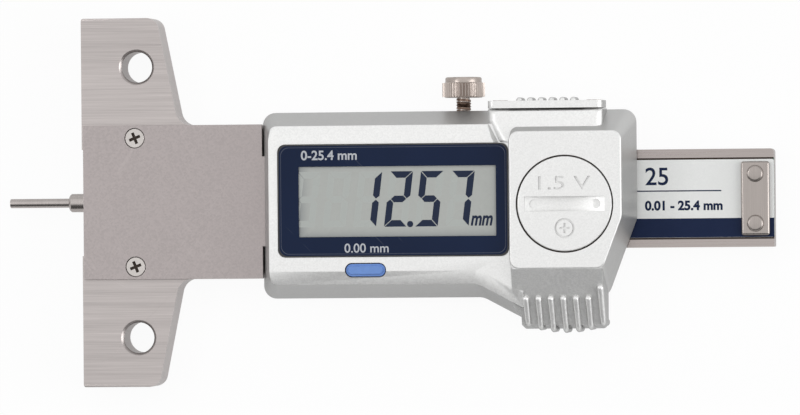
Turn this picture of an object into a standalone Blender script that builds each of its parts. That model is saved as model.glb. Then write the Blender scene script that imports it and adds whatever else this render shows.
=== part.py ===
"""Digital depth gauge for shallow grooves, lying on its back with the display up.

Frame: +X runs along the beam, away from the probe; +Z is the way the display faces;
the origin lies on the flat back plate. In the builders' working frame, which an empty
shifts into place, X is 0 at the measuring face and Y is 0 on the probe's axis.
"""

import math

import bmesh
import bpy
from mathutils import Matrix, Vector

MM = 0.001
DEG = math.pi / 180

# Resolution of round shapes
CORNER_STEPS = 5
FINE_SIDES = 32
ROUND_SIDES = 24
SMALL_SIDES = 16
SMALL_STEPS = 3
FULL_TURN = 360
RING_STEP = 45
WELD = 0.001 * MM

# Clearances
SEAT_GAP = 0.1 * MM
RUN_GAP = 0.1 * MM
BORE_GAP = 0.06 * MM
OVERRUN = 1.0 * MM
SHARP_ANGLE = 35 * DEG

# Place of the origin on the back plate, from the measuring face
REST_X = 50.0 * MM

# Reading that the probe shows at rest, and the largest one
READING = 12.57 * MM
LARGEST_READING = 25.4 * MM

# Base with its two wings
BASE_SPAN = 60.0 * MM
BASE_THICK = 6.5 * MM
STEM_WIDTH = 25.0 * MM
STEM_LENGTH = 29.4 * MM
SHOULDER_X = 12.45 * MM
FLANK_FOOT_X = 15.96 * MM
WING_CORNER_R = 2.0 * MM
WING_TIP_R = 0.4 * MM
FLANK_FILLET_R = 2.5 * MM
STEM_CORNER_R = 0.3 * MM
RELIEF_HALF_WIDTH = 8.65 * MM
RELIEF_DEPTH = 0.5 * MM
WING_HOLE_X = 9.17 * MM
WING_HOLE_Y = 22.0 * MM
WING_HOLE_R = 2.5 * MM
WING_HOLE_CHAMFER = 0.4 * MM
FRONT_WALL = 6.4 * MM

# Plates of the base
COVER_THICK = 0.9 * MM
COVER_SEAT_DEPTH = 0.1 * MM
COVER_LEFT_X = 0.35 * MM
COVER_RIGHT = 0.45 * MM
TONGUE_HALF_WIDTH = 7.3 * MM
TONGUE_END = 1.3 * MM
COVER_SCREW_X = 8.9 * MM
COVER_SCREW_Y = 10.45 * MM
BACK_THICK = 1.0 * MM
BACK_LEFT_X = 4.1 * MM
BACK_RIGHT = 57.0 * MM
BACK_HALF_WIDTH = 11.8 * MM

# Beam and what it carries
BEAM_WIDTH = 16.0 * MM
BEAM_THICK = 3.5 * MM
BEAM_LIFT = 0.15 * MM
BEAM_END_PLAY = 0.27 * MM
BEAM_END = 83.3 * MM
BEAM_CORNER_R = 0.6 * MM
LABEL_WIDTH = 12.6 * MM
LABEL_LEFT = -2.4 * MM
LABEL_THICK = 0.12 * MM
SCALE_THICK = 0.4 * MM
LABEL_PLAY = 0.08 * MM
LAYER_GAP = 0.04 * MM
STOP_LEFT = 78.03 * MM
STOP_LENGTH = 4.6 * MM
STOP_HEIGHT = 11.9 * MM
STOP_THICK = 0.8 * MM
STOP_BEVEL = 0.25 * MM
RIVET_SPACING = 8.0 * MM
RIVET_HEAD_R = 1.35 * MM
RIVET_HEAD_THICK = 0.5 * MM
RIVET_FLAT_R = 0.95 * MM
RIVET_SHANK_R = 0.7 * MM

# Probe
PIN_R = 0.75 * MM
ROD_R = 1.5 * MM
PIN_LENGTH = 9.9 * MM
ROD_CHAMFER = 0.35 * MM
PIN_TIP_R = 0.12 * MM
ROD_TAIL_R = 1.0 * MM
ROD_TAIL_LENGTH = 6.0 * MM

# Slider frame, which holds the beam's guides; the slider's places run from the stem's end
FRAME_LEFT = 0.8 * MM
FRAME_RIGHT = 57.2 * MM
FRAME_HALF_WIDTH = 12.0 * MM
RAIL_TOP = 5.2 * MM
FLANGE_TOP = 6.2 * MM
WEB_INSET = 2.4 * MM
PICKUP_LEFT = 7.6 * MM
PICKUP_RIGHT = 50.6 * MM
PICKUP_HALF_WIDTH = 6.4 * MM
PICKUP_THICK = 0.8 * MM
GIB_LEFT = 6.6 * MM
GIB_RIGHT = 52.6 * MM
GIB_THICK = 0.8 * MM
GIB_SCREW_LEFT = 12.6 * MM
GIB_SCREW_RIGHT = 48.6 * MM
GIB_SCREW_R = 0.95 * MM
GIB_SCREW_LENGTH = 2.3 * MM
GIB_SLOT_WIDTH = 0.4 * MM
GIB_SLOT_DEPTH = 0.5 * MM
WIPER_THICK = 0.9 * MM
WIPER_HALF_WIDTH = 9.8 * MM
WIPER_PLAY = 0.12 * MM

# Clamp screw across the slider frame
CLAMP_PLACE = 33.0 * MM
CLAMP_Z = 3.6 * MM
CLAMP_THREAD_R = 1.2 * MM
CLAMP_KNURL_R = 3.45 * MM
CLAMP_KNURL_LOW_Y = 16.52 * MM
CLAMP_KNURL_HIGH_Y = 19.03 * MM
CLAMP_CROWN_R = 2.95 * MM
CLAMP_TOP_Y = 19.84 * MM
CLAMP_EDGE = 0.25 * MM
KNURL_DEPTH = 0.22 * MM
KNURL_TEETH = 30
SHOE_R = 1.0 * MM
SHOE_THICK = 0.7 * MM

# Screws: countersunk head radius, head height, shank radius, length
SMALL_HEAD_R = 1.4 * MM
SMALL_HEAD_HEIGHT = 0.7 * MM
SMALL_SHANK_R = 0.75 * MM
COVER_HEAD_R = 1.55 * MM
COVER_HEAD_HEIGHT = 0.75 * MM
COVER_SCREW_LENGTH = 3.6 * MM
STEM_SCREW_LENGTH = 4.2 * MM
HOUSING_SCREW_LENGTH = 9.6 * MM
PORT_HEAD_R = 1.2 * MM
PORT_SHANK_R = 0.7 * MM
PORT_SCREW_LENGTH = 3.4 * MM
PORT_HEAD_HEIGHT = 0.65 * MM
CROSS_SPAN_SHARE = 1.15
CROSS_WIDTH_SHARE = 0.3
CROSS_DEPTH = 0.45 * MM
HEAD_SINK = 0.03 * MM

# Places of the back screws
STEM_SCREW_LEFT_X = 12.5 * MM
STEM_SCREW_INSET = 2.9 * MM
BACK_SCREW_Y = 10.2 * MM
HOUSING_SCREW_LEFT = 4.8 * MM
HOUSING_SCREW_RIGHT = 54.9 * MM

# Housing: outline at the rim
RIM_Z = 5.3 * MM
HOUSING_LEFT = 0.3 * MM
HOUSING_RIGHT = 61.25 * MM
HOUSING_TOP_Y = 14.35 * MM
HOUSING_BOTTOM_Y = -15.8 * MM
SLANT_TOP_Y = -3.2 * MM
SLANT_BOTTOM = 56.5 * MM
OUTER_CORNER_R = 2.1 * MM
SLANT_CORNER_R = 3.0 * MM
WALL = 1.2 * MM

# Housing: display part
EDGE_Z = 12.9 * MM
FACE_Z = 13.6 * MM
ROOF_Z = 12.2 * MM
SIDE_DRAFT = 2.0 * MM
LONG_DRAFT = 2.28 * MM
FACET_WIDTH = 2.16 * MM
LEFT_EASE = 0.15 * MM
FLARE_START = 36.2 * MM
FLARE_R = 3.0 * MM
FLARE_FALL_SHARE = 0.531
DISPLAY_END = 43.6 * MM
FACE_CORNER_R = 1.4 * MM
CAVITY_RIGHT = 40.9 * MM
CAVITY_FLOOR_Z = 7.15 * MM

# Housing: raised block over the battery
BLOCK_LEFT = 41.6 * MM
BLOCK_Z = 15.2 * MM
BLOCK_TOP_Y = 10.93 * MM
BLOCK_BOTTOM_Y = -11.24 * MM
BLOCK_RIGHT_EASE = 1.7 * MM
BLOCK_CORNER_R = 1.5 * MM
BLOCK_EDGE = 0.35 * MM

# Housing: thumb grip
GRIP_LEFT = 42.5 * MM
GRIP_BOTTOM_Y = -20.95 * MM
GRIP_KNEE_Z = 10.9 * MM
GRIP_DRAFT = 0.7 * MM
GRIP_CORNER_R = 1.2 * MM
RIB_COUNT = 7
RIB_FIRST = 43.75 * MM
RIB_PITCH = 2.02 * MM
RIB_WIDTH = 0.95 * MM
RIB_RISE = 0.75 * MM
RIB_START_Y = -15.45 * MM
RIB_ARC_DROP = 1.0 * MM

# Housing: boss for the output port, and its cover
BOSS_LEFT = 38.0 * MM
BOSS_RIGHT = 56.5 * MM
BOSS_TOP_Y = 14.5 * MM
BOSS_FOOT_Y = 9.9 * MM
BOSS_SHOULDER_Z = 12.0 * MM
BOSS_TOP_Z = 13.05 * MM
BOSS_FOOT_Z = 13.55 * MM
BOSS_SIDE_EASE = 1.5 * MM
BOSS_CORNER_R = 0.8 * MM
PORT_COVER_THICK = 1.35 * MM
PORT_COVER_LOW_Z = 5.9 * MM
PORT_COVER_R = 1.0 * MM
PORT_RIB_COUNT = 6
PORT_RIB_FIRST = 43.0 * MM
PORT_RIB_PITCH = 1.74 * MM
PORT_RIB_WIDTH = 0.95 * MM
PORT_RIB_RISE = 0.4 * MM
PORT_RIB_LOW_Z = 6.9 * MM
PORT_RIB_HIGH_Z = 12.0 * MM
PORT_SCREW_LEFT = 39.7 * MM
PORT_SCREW_RIGHT = 54.8 * MM
PORT_SCREW_Z = 9.4 * MM
SOCKET_LEFT = 43.1 * MM
SOCKET_RIGHT = 51.8 * MM
SOCKET_LOW_Y = 8.8 * MM
SOCKET_HIGH_Z = 11.3 * MM
SOCKET_RECESS = 2.6 * MM
SOCKET_RIM = 0.9 * MM
SOCKET_PLAY = 0.3 * MM
GASKET_WIDTH = 0.8 * MM
GASKET_THICK = 0.5 * MM

# Display and its electronics
WINDOW_LEFT = 3.97 * MM
WINDOW_RIGHT = 41.34 * MM
WINDOW_HALF_HEIGHT = 9.05 * MM
WINDOW_R = 1.3 * MM
WINDOW_THICK = 0.85 * MM
WINDOW_PROUD = 0.1 * MM
WINDOW_PLAY = 0.08 * MM
VIEW_LEFT = 6.2 * MM
VIEW_RIGHT = 40.2 * MM
VIEW_HALF_HEIGHT = 6.5 * MM
LCD_LEFT = 5.4 * MM
LCD_RIGHT = 40.5 * MM
LCD_HALF_HEIGHT = 7.2 * MM
LCD_THICK = 1.5 * MM
STRIP_WIDTH = 1.4 * MM
STRIP_INSET = 1.5 * MM
BOARD_THICK = 0.8 * MM
BOARD_LEFT = 6.8 * MM
BOARD_RIGHT = 53.9 * MM
BOARD_TOP_Y = 11.6 * MM
BOARD_BOTTOM_Y = -12.6 * MM
BOARD_CUT = 51.1 * MM
BOARD_CUT_Y = -6.0 * MM
SEAL_WIDTH = 0.7 * MM
SEAL_THICK = 0.6 * MM

# Set button
BUTTON_PLACE = 18.1 * MM
BUTTON_Y = -11.2 * MM
BUTTON_LENGTH = 6.4 * MM
BUTTON_WIDTH = 2.05 * MM
BUTTON_TOP_Z = 13.75 * MM
BUTTON_NECK_Z = 11.4 * MM
BUTTON_FLANGE = 0.32 * MM
BUTTON_FLANGE_THICK = 0.6 * MM
BUTTON_STEM_R = 0.7 * MM
BUTTON_STEM_Z = 9.3 * MM
BUTTON_CROWN = 0.25 * MM
BUTTON_PLAY = 0.15 * MM
SWITCH_LENGTH = 3.6 * MM
SWITCH_WIDTH = 2.4 * MM
SWITCH_TOP_Z = 8.8 * MM

# Battery, its cap and contacts
CAP_PLACE = 50.55 * MM
CAP_Y = -0.8 * MM
CAP_R = 7.62 * MM
CAP_TOP_Z = 15.15 * MM
CAP_SEAT_Z = 14.2 * MM
CAP_NECK_R = 6.85 * MM
CAP_NECK_Z = 12.0 * MM
CAP_HOLLOW_R = 6.1 * MM
CAP_HOLLOW_Z = 13.05 * MM
CAP_EDGE = 0.2 * MM
CAP_BORE_R = 7.85 * MM
CAP_STEP_Z = 13.3 * MM
THREAD_BORE_R = 7.0 * MM
THREAD_FLOOR_Z = 11.6 * MM
SEAL_RING_R = 7.35 * MM
SEAL_CORD_R = 0.38 * MM
SLOT_LENGTH = 12.9 * MM
SLOT_WIDTH = 2.4 * MM
SLOT_DEPTH = 0.85 * MM
BATTERY_R = 5.8 * MM
BATTERY_HEIGHT = 5.4 * MM
BATTERY_Z = 7.55 * MM
BATTERY_STEP = 0.5 * MM
WELL_R = 6.15 * MM
CONTACT_R = 3.2 * MM
CONTACT_THICK = 0.25 * MM
CLIP_WIDTH = 3.0 * MM
CLIP_THICK = 0.2 * MM
CLIP_HEIGHT = 3.4 * MM
CLIP_POCKET_DEPTH = 0.45 * MM

# Places that follow from the stem's end, where the slider starts
SLIDER_X = STEM_LENGTH
COVER_RIGHT_X = SLIDER_X + COVER_RIGHT
TONGUE_END_X = SLIDER_X + TONGUE_END
BACK_RIGHT_X = SLIDER_X + BACK_RIGHT
BEAM_RIGHT_X = SLIDER_X + BEAM_END
LABEL_LEFT_X = SLIDER_X + LABEL_LEFT
STOP_LEFT_X = SLIDER_X + STOP_LEFT
FRAME_LEFT_X = SLIDER_X + FRAME_LEFT
FRAME_RIGHT_X = SLIDER_X + FRAME_RIGHT
PICKUP_LEFT_X = SLIDER_X + PICKUP_LEFT
PICKUP_RIGHT_X = SLIDER_X + PICKUP_RIGHT
GIB_LEFT_X = SLIDER_X + GIB_LEFT
GIB_RIGHT_X = SLIDER_X + GIB_RIGHT
GIB_SCREW_LEFT_X = SLIDER_X + GIB_SCREW_LEFT
GIB_SCREW_RIGHT_X = SLIDER_X + GIB_SCREW_RIGHT
CLAMP_X = SLIDER_X + CLAMP_PLACE
HOUSING_LEFT_X = SLIDER_X + HOUSING_LEFT
HOUSING_RIGHT_X = SLIDER_X + HOUSING_RIGHT
SLANT_BOTTOM_X = SLIDER_X + SLANT_BOTTOM
FLARE_X = SLIDER_X + FLARE_START
DISPLAY_END_X = SLIDER_X + DISPLAY_END
CAVITY_RIGHT_X = SLIDER_X + CAVITY_RIGHT
BLOCK_LEFT_X = SLIDER_X + BLOCK_LEFT
GRIP_LEFT_X = SLIDER_X + GRIP_LEFT
RIB_FIRST_X = SLIDER_X + RIB_FIRST
BOSS_LEFT_X = SLIDER_X + BOSS_LEFT
BOSS_RIGHT_X = SLIDER_X + BOSS_RIGHT
PORT_RIB_FIRST_X = SLIDER_X + PORT_RIB_FIRST
PORT_SCREW_LEFT_X = SLIDER_X + PORT_SCREW_LEFT
PORT_SCREW_RIGHT_X = SLIDER_X + PORT_SCREW_RIGHT
SOCKET_LEFT_X = SLIDER_X + SOCKET_LEFT
SOCKET_RIGHT_X = SLIDER_X + SOCKET_RIGHT
WINDOW_LEFT_X = SLIDER_X + WINDOW_LEFT
WINDOW_RIGHT_X = SLIDER_X + WINDOW_RIGHT
VIEW_LEFT_X = SLIDER_X + VIEW_LEFT
VIEW_RIGHT_X = SLIDER_X + VIEW_RIGHT
LCD_LEFT_X = SLIDER_X + LCD_LEFT
LCD_RIGHT_X = SLIDER_X + LCD_RIGHT
BOARD_LEFT_X = SLIDER_X + BOARD_LEFT
BOARD_RIGHT_X = SLIDER_X + BOARD_RIGHT
BOARD_CUT_X = SLIDER_X + BOARD_CUT
BUTTON_X = SLIDER_X + BUTTON_PLACE
CAP_X = SLIDER_X + CAP_PLACE
HOUSING_SCREW_PLACES = (
    (SLIDER_X + HOUSING_SCREW_LEFT, 1),
    (SLIDER_X + HOUSING_SCREW_LEFT, -1),
    (SLIDER_X + HOUSING_SCREW_RIGHT, 1),
    (SLIDER_X + HOUSING_SCREW_RIGHT, -1),
)
STEM_SCREW_XS = (STEM_SCREW_LEFT_X, STEM_LENGTH - STEM_SCREW_INSET)
BEAM_LEFT_X = FRONT_WALL + LARGEST_READING - READING + BEAM_END_PLAY

# Heights that follow from the stack
COVER_LOW_Z = BASE_THICK - COVER_SEAT_DEPTH + SEAT_GAP
BEAM_LOW_Z = BACK_THICK + BEAM_LIFT
BEAM_HIGH_Z = BEAM_LOW_Z + BEAM_THICK
PROBE_Z = (BEAM_LOW_Z + BEAM_HIGH_Z) / 2
SLOT_CEILING_Z = BEAM_HIGH_Z + RUN_GAP
BOARD_Z = FLANGE_TOP + SEAT_GAP
BOARD_TOP_Z = BOARD_Z + BOARD_THICK
LCD_HIGH_Z = ROOF_Z - SEAT_GAP
LCD_LOW_Z = LCD_HIGH_Z - LCD_THICK
WINDOW_LOW_Z = FACE_Z + WINDOW_PROUD - WINDOW_THICK
BEAM_HALF = BEAM_WIDTH / 2
GIB_LOW_Y = BEAM_HALF + RUN_GAP
GIB_HIGH_Y = GIB_LOW_Y + GIB_THICK
SLOT_HIGH_Y = GIB_HIGH_Y + RUN_GAP

# Colours, roughness and metallic value of each finish
FINISHES = {
    "brushed_steel": ((0.45, 0.42, 0.40), 0.35, 1.0),
    "blasted_steel": ((0.38, 0.34, 0.33), 0.5, 1.0),
    "ground_steel": ((0.5, 0.46, 0.43), 0.3, 1.0),
    "bright_steel": ((0.6, 0.57, 0.54), 0.22, 1.0),
    "silver_paint": ((0.72, 0.72, 0.71), 0.4, 0.4),
    "navy_window": ((0.011, 0.019, 0.055), 0.1, 0.0),
    "lcd_glass": ((0.4, 0.42, 0.39), 0.3, 0.0),
    "blue_key": ((0.14, 0.28, 0.68), 0.4, 0.0),
    "label_grey": ((0.61, 0.63, 0.62), 0.4, 0.0),
    "circuit_green": ((0.02, 0.12, 0.06), 0.5, 0.0),
    "black_rubber": ((0.02, 0.02, 0.02), 0.8, 0.0),
    "brass": ((0.55, 0.4, 0.15), 0.35, 1.0),
    "black_plastic": ((0.03, 0.03, 0.03), 0.5, 0.0),
}


def clear_scene():
    for obj in list(bpy.data.objects):
        bpy.data.objects.remove(obj, do_unlink=True)


def make_collection(name):
    collection = bpy.data.collections.new(name)
    bpy.context.scene.collection.children.link(collection)
    return collection


def make_finish(name):
    colour, roughness, metallic = FINISHES[name]
    material = bpy.data.materials.new(name)
    material.use_nodes = True
    shader = material.node_tree.nodes["Principled BSDF"]
    shader.inputs["Base Color"].default_value = (*colour, 1.0)
    shader.inputs["Roughness"].default_value = roughness
    shader.inputs["Metallic"].default_value = metallic
    material.diffuse_color = (*colour, 1.0)
    return material


def make_empty(name, place, parent=None):
    empty = bpy.data.objects.new(name, None)
    empty.location = place
    PARTS.objects.link(empty)
    empty.parent = parent
    return empty


def link_part(obj, finish, parent):
    """Puts a finished shape, drawn in the working frame, under its group's empty."""
    for collection in list(obj.users_collection):
        collection.objects.unlink(obj)
    PARTS.objects.link(obj)
    obj.data.materials.clear()
    obj.data.materials.append(MATERIALS[finish])
    if not any(modifier.type == "BOOLEAN" for modifier in obj.modifiers):
        obj.data.shade_smooth()
        obj.data.set_sharp_from_angle(angle=SHARP_ANGLE)
    obj.parent = parent
    offset = Vector((0, 0, 0))
    group = parent
    while group is not ROOT:
        offset += Vector(group.location)
        group = group.parent
    obj.location = Vector(obj.location) - offset
    return obj


def as_cutter(obj):
    for collection in list(obj.users_collection):
        collection.objects.unlink(obj)
    CUTTERS.objects.link(obj)
    obj.hide_render = True
    obj.display_type = "WIRE"
    obj.parent = ROOT
    return obj


def object_from(bm, name):
    mesh = bpy.data.meshes.new(name)
    bm.to_mesh(mesh)
    bm.free()
    obj = bpy.data.objects.new(name, mesh)
    CUTTERS.objects.link(obj)
    return obj


def bake(obj):
    """Applies the modifiers, so that the object holds its final mesh."""
    bpy.context.view_layer.update()
    graph = bpy.context.evaluated_depsgraph_get()
    mesh = bpy.data.meshes.new_from_object(obj.evaluated_get(graph))
    mesh.name = obj.name
    obj.modifiers.clear()
    obj.data = mesh
    return obj


def box(name, low, high):
    """A box between two corners."""
    low = Vector(low)
    high = Vector(high)
    bm = bmesh.new()
    bmesh.ops.create_cube(bm, size=1.0)
    bmesh.ops.scale(bm, vec=high - low, verts=bm.verts)
    bmesh.ops.translate(bm, vec=(low + high) / 2, verts=bm.verts)
    return object_from(bm, name)


def rounded(corners, radii, steps=CORNER_STEPS):
    """The outline through the corners, each turned with its radius."""
    points = []
    count = len(corners)
    for index, corner in enumerate(corners):
        here = Vector(corner)
        before = (Vector(corners[index - 1]) - here).normalized()
        after = (Vector(corners[(index + 1) % count]) - here).normalized()
        half_angle = before.angle(after) / 2
        radius = radii[index]
        middle = here + (before + after).normalized() * (radius / math.sin(half_angle))
        start = here + before * (radius / math.tan(half_angle)) - middle
        end = here + after * (radius / math.tan(half_angle)) - middle
        sweep = start.angle_signed(end)
        for step in range(steps + 1):
            turn = Matrix.Rotation(-sweep * step / steps, 2)
            points.append(middle + turn @ start)
    return points


def inset(corners, distances):
    """The counter-clockwise outline with edge i, from corner i on, moved inwards."""
    count = len(corners)
    lines = []
    for index in range(count):
        start = Vector(corners[index])
        along = (Vector(corners[(index + 1) % count]) - start).normalized()
        inward = Vector((-along.y, along.x))
        lines.append((start + inward * distances[index], along))
    moved = []
    for index in range(count):
        point, along = lines[index - 1]
        other, other_along = lines[index]
        gap = other - point
        cross = along.x * other_along.y - along.y * other_along.x
        reach = (gap.x * other_along.y - gap.y * other_along.x) / cross
        moved.append(point + along * reach)
    return moved


def plate(name, outlines, low, high, plane="XY"):
    """A flat plate: outlines in its plane, filled between low and high across it."""
    curve = bpy.data.curves.new(name, "CURVE")
    curve.dimensions = "2D"
    curve.fill_mode = "BOTH"
    curve.extrude = (high - low) / 2
    for outline in outlines:
        spline = curve.splines.new("POLY")
        spline.points.add(len(outline) - 1)
        for point, place in zip(spline.points, outline):
            point.co = (place[0], place[1], 0.0, 1.0)
        spline.use_cyclic_u = True
    drawn = bpy.data.objects.new(name + "_curve", curve)
    CUTTERS.objects.link(drawn)
    bpy.context.view_layer.update()
    graph = bpy.context.evaluated_depsgraph_get()
    mesh = bpy.data.meshes.new_from_object(drawn.evaluated_get(graph))
    mesh.name = name
    bpy.data.objects.remove(drawn, do_unlink=True)
    bm = bmesh.new()
    bm.from_mesh(mesh)
    bpy.data.meshes.remove(mesh)
    bmesh.ops.remove_doubles(bm, verts=bm.verts, dist=WELD)
    bmesh.ops.translate(bm, vec=(0, 0, (low + high) / 2), verts=bm.verts)
    if plane == "YZ":
        bm.transform(Matrix(((0, 0, 1, 0), (1, 0, 0, 0), (0, 1, 0, 0), (0, 0, 0, 1))))
    if plane == "XZ":
        bm.transform(Matrix(((1, 0, 0, 0), (0, 0, -1, 0), (0, 1, 0, 0), (0, 0, 0, 1))))
    bmesh.ops.recalc_face_normals(bm, faces=bm.faces)
    return object_from(bm, name)


def loft(name, rings):
    """A solid through rings with the same number of points, lowest ring first."""
    bm = bmesh.new()
    rows = [[bm.verts.new(point) for point in ring] for ring in rings]
    count = len(rows[0])
    for lower, upper in zip(rows, rows[1:]):
        for index in range(count):
            after = (index + 1) % count
            bm.faces.new((lower[index], lower[after], upper[after], upper[index]))
    bm.faces.new(list(reversed(rows[0])))
    bm.faces.new(rows[-1])
    bmesh.ops.recalc_face_normals(bm, faces=bm.faces)
    return object_from(bm, name)


def level(outline, height):
    """The outline as a ring at one height, or at a height that depends on the point."""
    if callable(height):
        return [(point[0], point[1], height(point)) for point in outline]
    return [(point[0], point[1], height) for point in outline]


def turned(name, profile, place, axis="Z", sides=ROUND_SIDES):
    """A solid turned about an axis: the profile's (radius, height) pairs run top to bottom."""
    bm = bmesh.new()
    points = [bm.verts.new((radius, 0, height)) for radius, height in profile]
    for first, second in zip(points, points[1:]):
        bm.edges.new((first, second))
    obj = object_from(bm, name)
    screw = obj.modifiers.new("turn", "SCREW")
    screw.steps = sides
    screw.render_steps = sides
    screw.use_merge_vertices = True
    screw.merge_threshold = WELD
    bake(obj)
    turns = {
        "Z": Matrix.Identity(4),
        "Y": Matrix.Rotation(-math.pi / 2, 4, "X"),
        "X": Matrix.Rotation(math.pi / 2, 4, "Y"),
        "-Z": Matrix.Rotation(math.pi, 4, "X"),
    }
    obj.data.transform(Matrix.Translation(place) @ turns[axis])
    return obj


def rod_between(name, radius, low, high, place, axis="Z", sides=ROUND_SIDES):
    profile = [(0, high), (radius, high), (radius, low), (0, low)]
    return turned(name, profile, place, axis, sides)


def combine(obj, tool, operation):
    modifier = obj.modifiers.new(operation.lower() + "_" + tool.name, "BOOLEAN")
    modifier.operation = operation
    modifier.solver = "EXACT"
    modifier.object = as_cutter(tool)
    return obj


def cut(obj, tool):
    return combine(obj, tool, "DIFFERENCE")


def join(obj, tool):
    return combine(obj, tool, "UNION")


def stadium(length, width, middle, steps=ROUND_SIDES // 2):
    """An outline with two parallel sides and round ends."""
    radius = width / 2
    reach = length / 2 - radius
    points = []
    for side in (1, -1):
        for step in range(steps + 1):
            angle = math.pi * step / steps - side * math.pi / 2
            points.append(
                (middle[0] + side * reach + radius * math.cos(angle), middle[1] + radius * math.sin(angle))
            )
    return points


def bevel(obj, width):
    modifier = obj.modifiers.new("bevel", "BEVEL")
    modifier.width = width
    modifier.segments = 1
    modifier.limit_method = "ANGLE"
    modifier.angle_limit = SHARP_ANGLE
    return obj


def cross_recess(name, head_r, place, axis):
    """The cutter for a screw's cross: two crossed bars sunk into the head."""
    span = head_r * CROSS_SPAN_SHARE / 2
    half = head_r * CROSS_WIDTH_SHARE / 2
    bars = box(name, (-span, -half, -CROSS_DEPTH), (span, half, OVERRUN))
    other = box(name + "_across", (-half, -span, -CROSS_DEPTH), (half, span, OVERRUN))
    join(bars, other)
    bake(bars)
    turns = {
        "Z": Matrix.Identity(4),
        "-Z": Matrix.Rotation(math.pi, 4, "X"),
        "Y": Matrix.Rotation(-math.pi / 2, 4, "X"),
    }
    bars.data.transform(Matrix.Translation(place) @ turns[axis] @ Matrix.Rotation(math.pi / 4, 4, "Z"))
    return bars


def countersunk_screw(name, head_r, head_height, shank_r, length, place, axis, parent):
    """A flat-headed screw whose head's face lies at the place."""
    rim = SEAT_GAP
    profile = [
        (0, 0),
        (head_r, 0),
        (head_r, -rim),
        (shank_r, -head_height),
        (shank_r, rim + shank_r / 2 - length),
        (shank_r / 2, -length),
        (0, -length),
    ]
    screw = turned(name, profile, place, axis, SMALL_SIDES)
    cut(screw, cross_recess(name + "_cross", head_r, place, axis))
    return link_part(screw, "bright_steel", parent)


def screw_hole(name, head_r, head_height, shank_r, length, place, axis):
    """The cutter for such a screw: its own shape with clearance all round."""
    play = SEAT_GAP
    profile = [
        (0, OVERRUN),
        (head_r + play, OVERRUN),
        (head_r + play, -play - play),
        (shank_r + play, -head_height - play),
        (shank_r + play, -length - play),
        (0, -length - play),
    ]
    return turned(name, profile, place, axis, SMALL_SIDES)


def shank_hole(name, shank_r, low, high, place, axis="Z"):
    return rod_between(name, shank_r + SEAT_GAP, low, high, place, axis, SMALL_SIDES)


def base_outline():
    half = BASE_SPAN / 2
    stem = STEM_WIDTH / 2
    corners = [
        (0, -half),
        (SHOULDER_X, -half),
        (FLANK_FOOT_X, -stem),
        (STEM_LENGTH, -stem),
        (STEM_LENGTH, stem),
        (FLANK_FOOT_X, stem),
        (SHOULDER_X, half),
        (0, half),
    ]
    lower = [WING_TIP_R, WING_CORNER_R, FLANK_FILLET_R, STEM_CORNER_R]
    return rounded(corners, lower + lower[::-1])


def make_base():
    base = plate("base_block", [base_outline()], 0, BASE_THICK)
    relief_low = (-OVERRUN, -RELIEF_HALF_WIDTH, -OVERRUN)
    relief_high = (RELIEF_DEPTH, RELIEF_HALF_WIDTH, BASE_THICK + OVERRUN)
    cut(base, box("face_relief", relief_low, relief_high))
    seat_half = STEM_WIDTH / 2 + SEAT_GAP
    seat_low = (-OVERRUN, -seat_half, BASE_THICK - COVER_SEAT_DEPTH)
    seat_high = (STEM_LENGTH + OVERRUN, seat_half, BASE_THICK + OVERRUN)
    cut(base, box("cover_seat", seat_low, seat_high))
    for side in (1, -1):
        profile = [
            (0, BASE_THICK + OVERRUN),
            (WING_HOLE_R + WING_HOLE_CHAMFER + OVERRUN, BASE_THICK + OVERRUN),
            (WING_HOLE_R, BASE_THICK - WING_HOLE_CHAMFER),
            (WING_HOLE_R, WING_HOLE_CHAMFER),
            (WING_HOLE_R + WING_HOLE_CHAMFER + OVERRUN, -OVERRUN),
            (0, -OVERRUN),
        ]
        cut(base, turned(f"wing_hole_{side}", profile, (WING_HOLE_X, side * WING_HOLE_Y, 0)))
    channel_half = BEAM_HALF + RUN_GAP
    end = STEM_LENGTH + OVERRUN
    cut(base, box("beam_channel", (FRONT_WALL, -channel_half, -OVERRUN), (end, channel_half, SLOT_CEILING_Z)))
    recess_left = BACK_LEFT_X - SEAT_GAP
    recess_half = BACK_HALF_WIDTH + SEAT_GAP
    recess_top = BACK_THICK + SEAT_GAP
    cut(base, box("back_recess", (recess_left, -recess_half, -OVERRUN), (end, recess_half, recess_top)))
    bore = rod_between("rod_bore", ROD_R + BORE_GAP, -OVERRUN, end - OVERRUN, (0, 0, PROBE_Z), "X")
    bore_half = ROD_R + OVERRUN
    bore_low = (FRONT_WALL + OVERRUN, -bore_half, 0)
    cut(bore, box("bore_end", bore_low, (end + OVERRUN, bore_half, BASE_THICK)))
    cut(base, bake(bore))
    for side in (1, -1):
        y = side * COVER_SCREW_Y
        depth = COVER_SCREW_LENGTH + SEAT_GAP
        face = COVER_LOW_Z + COVER_THICK
        cut(base, shank_hole(f"cover_thread_{side}", SMALL_SHANK_R, -depth, 0, (COVER_SCREW_X, y, face)))
        for x in STEM_SCREW_XS:
            place = (x, side * BACK_SCREW_Y, 0)
            reach = STEM_SCREW_LENGTH + SEAT_GAP
            cut(base, shank_hole(f"stem_thread_{side}", SMALL_SHANK_R, 0, reach, place))
    return link_part(base, "brushed_steel", ROOT)


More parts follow.
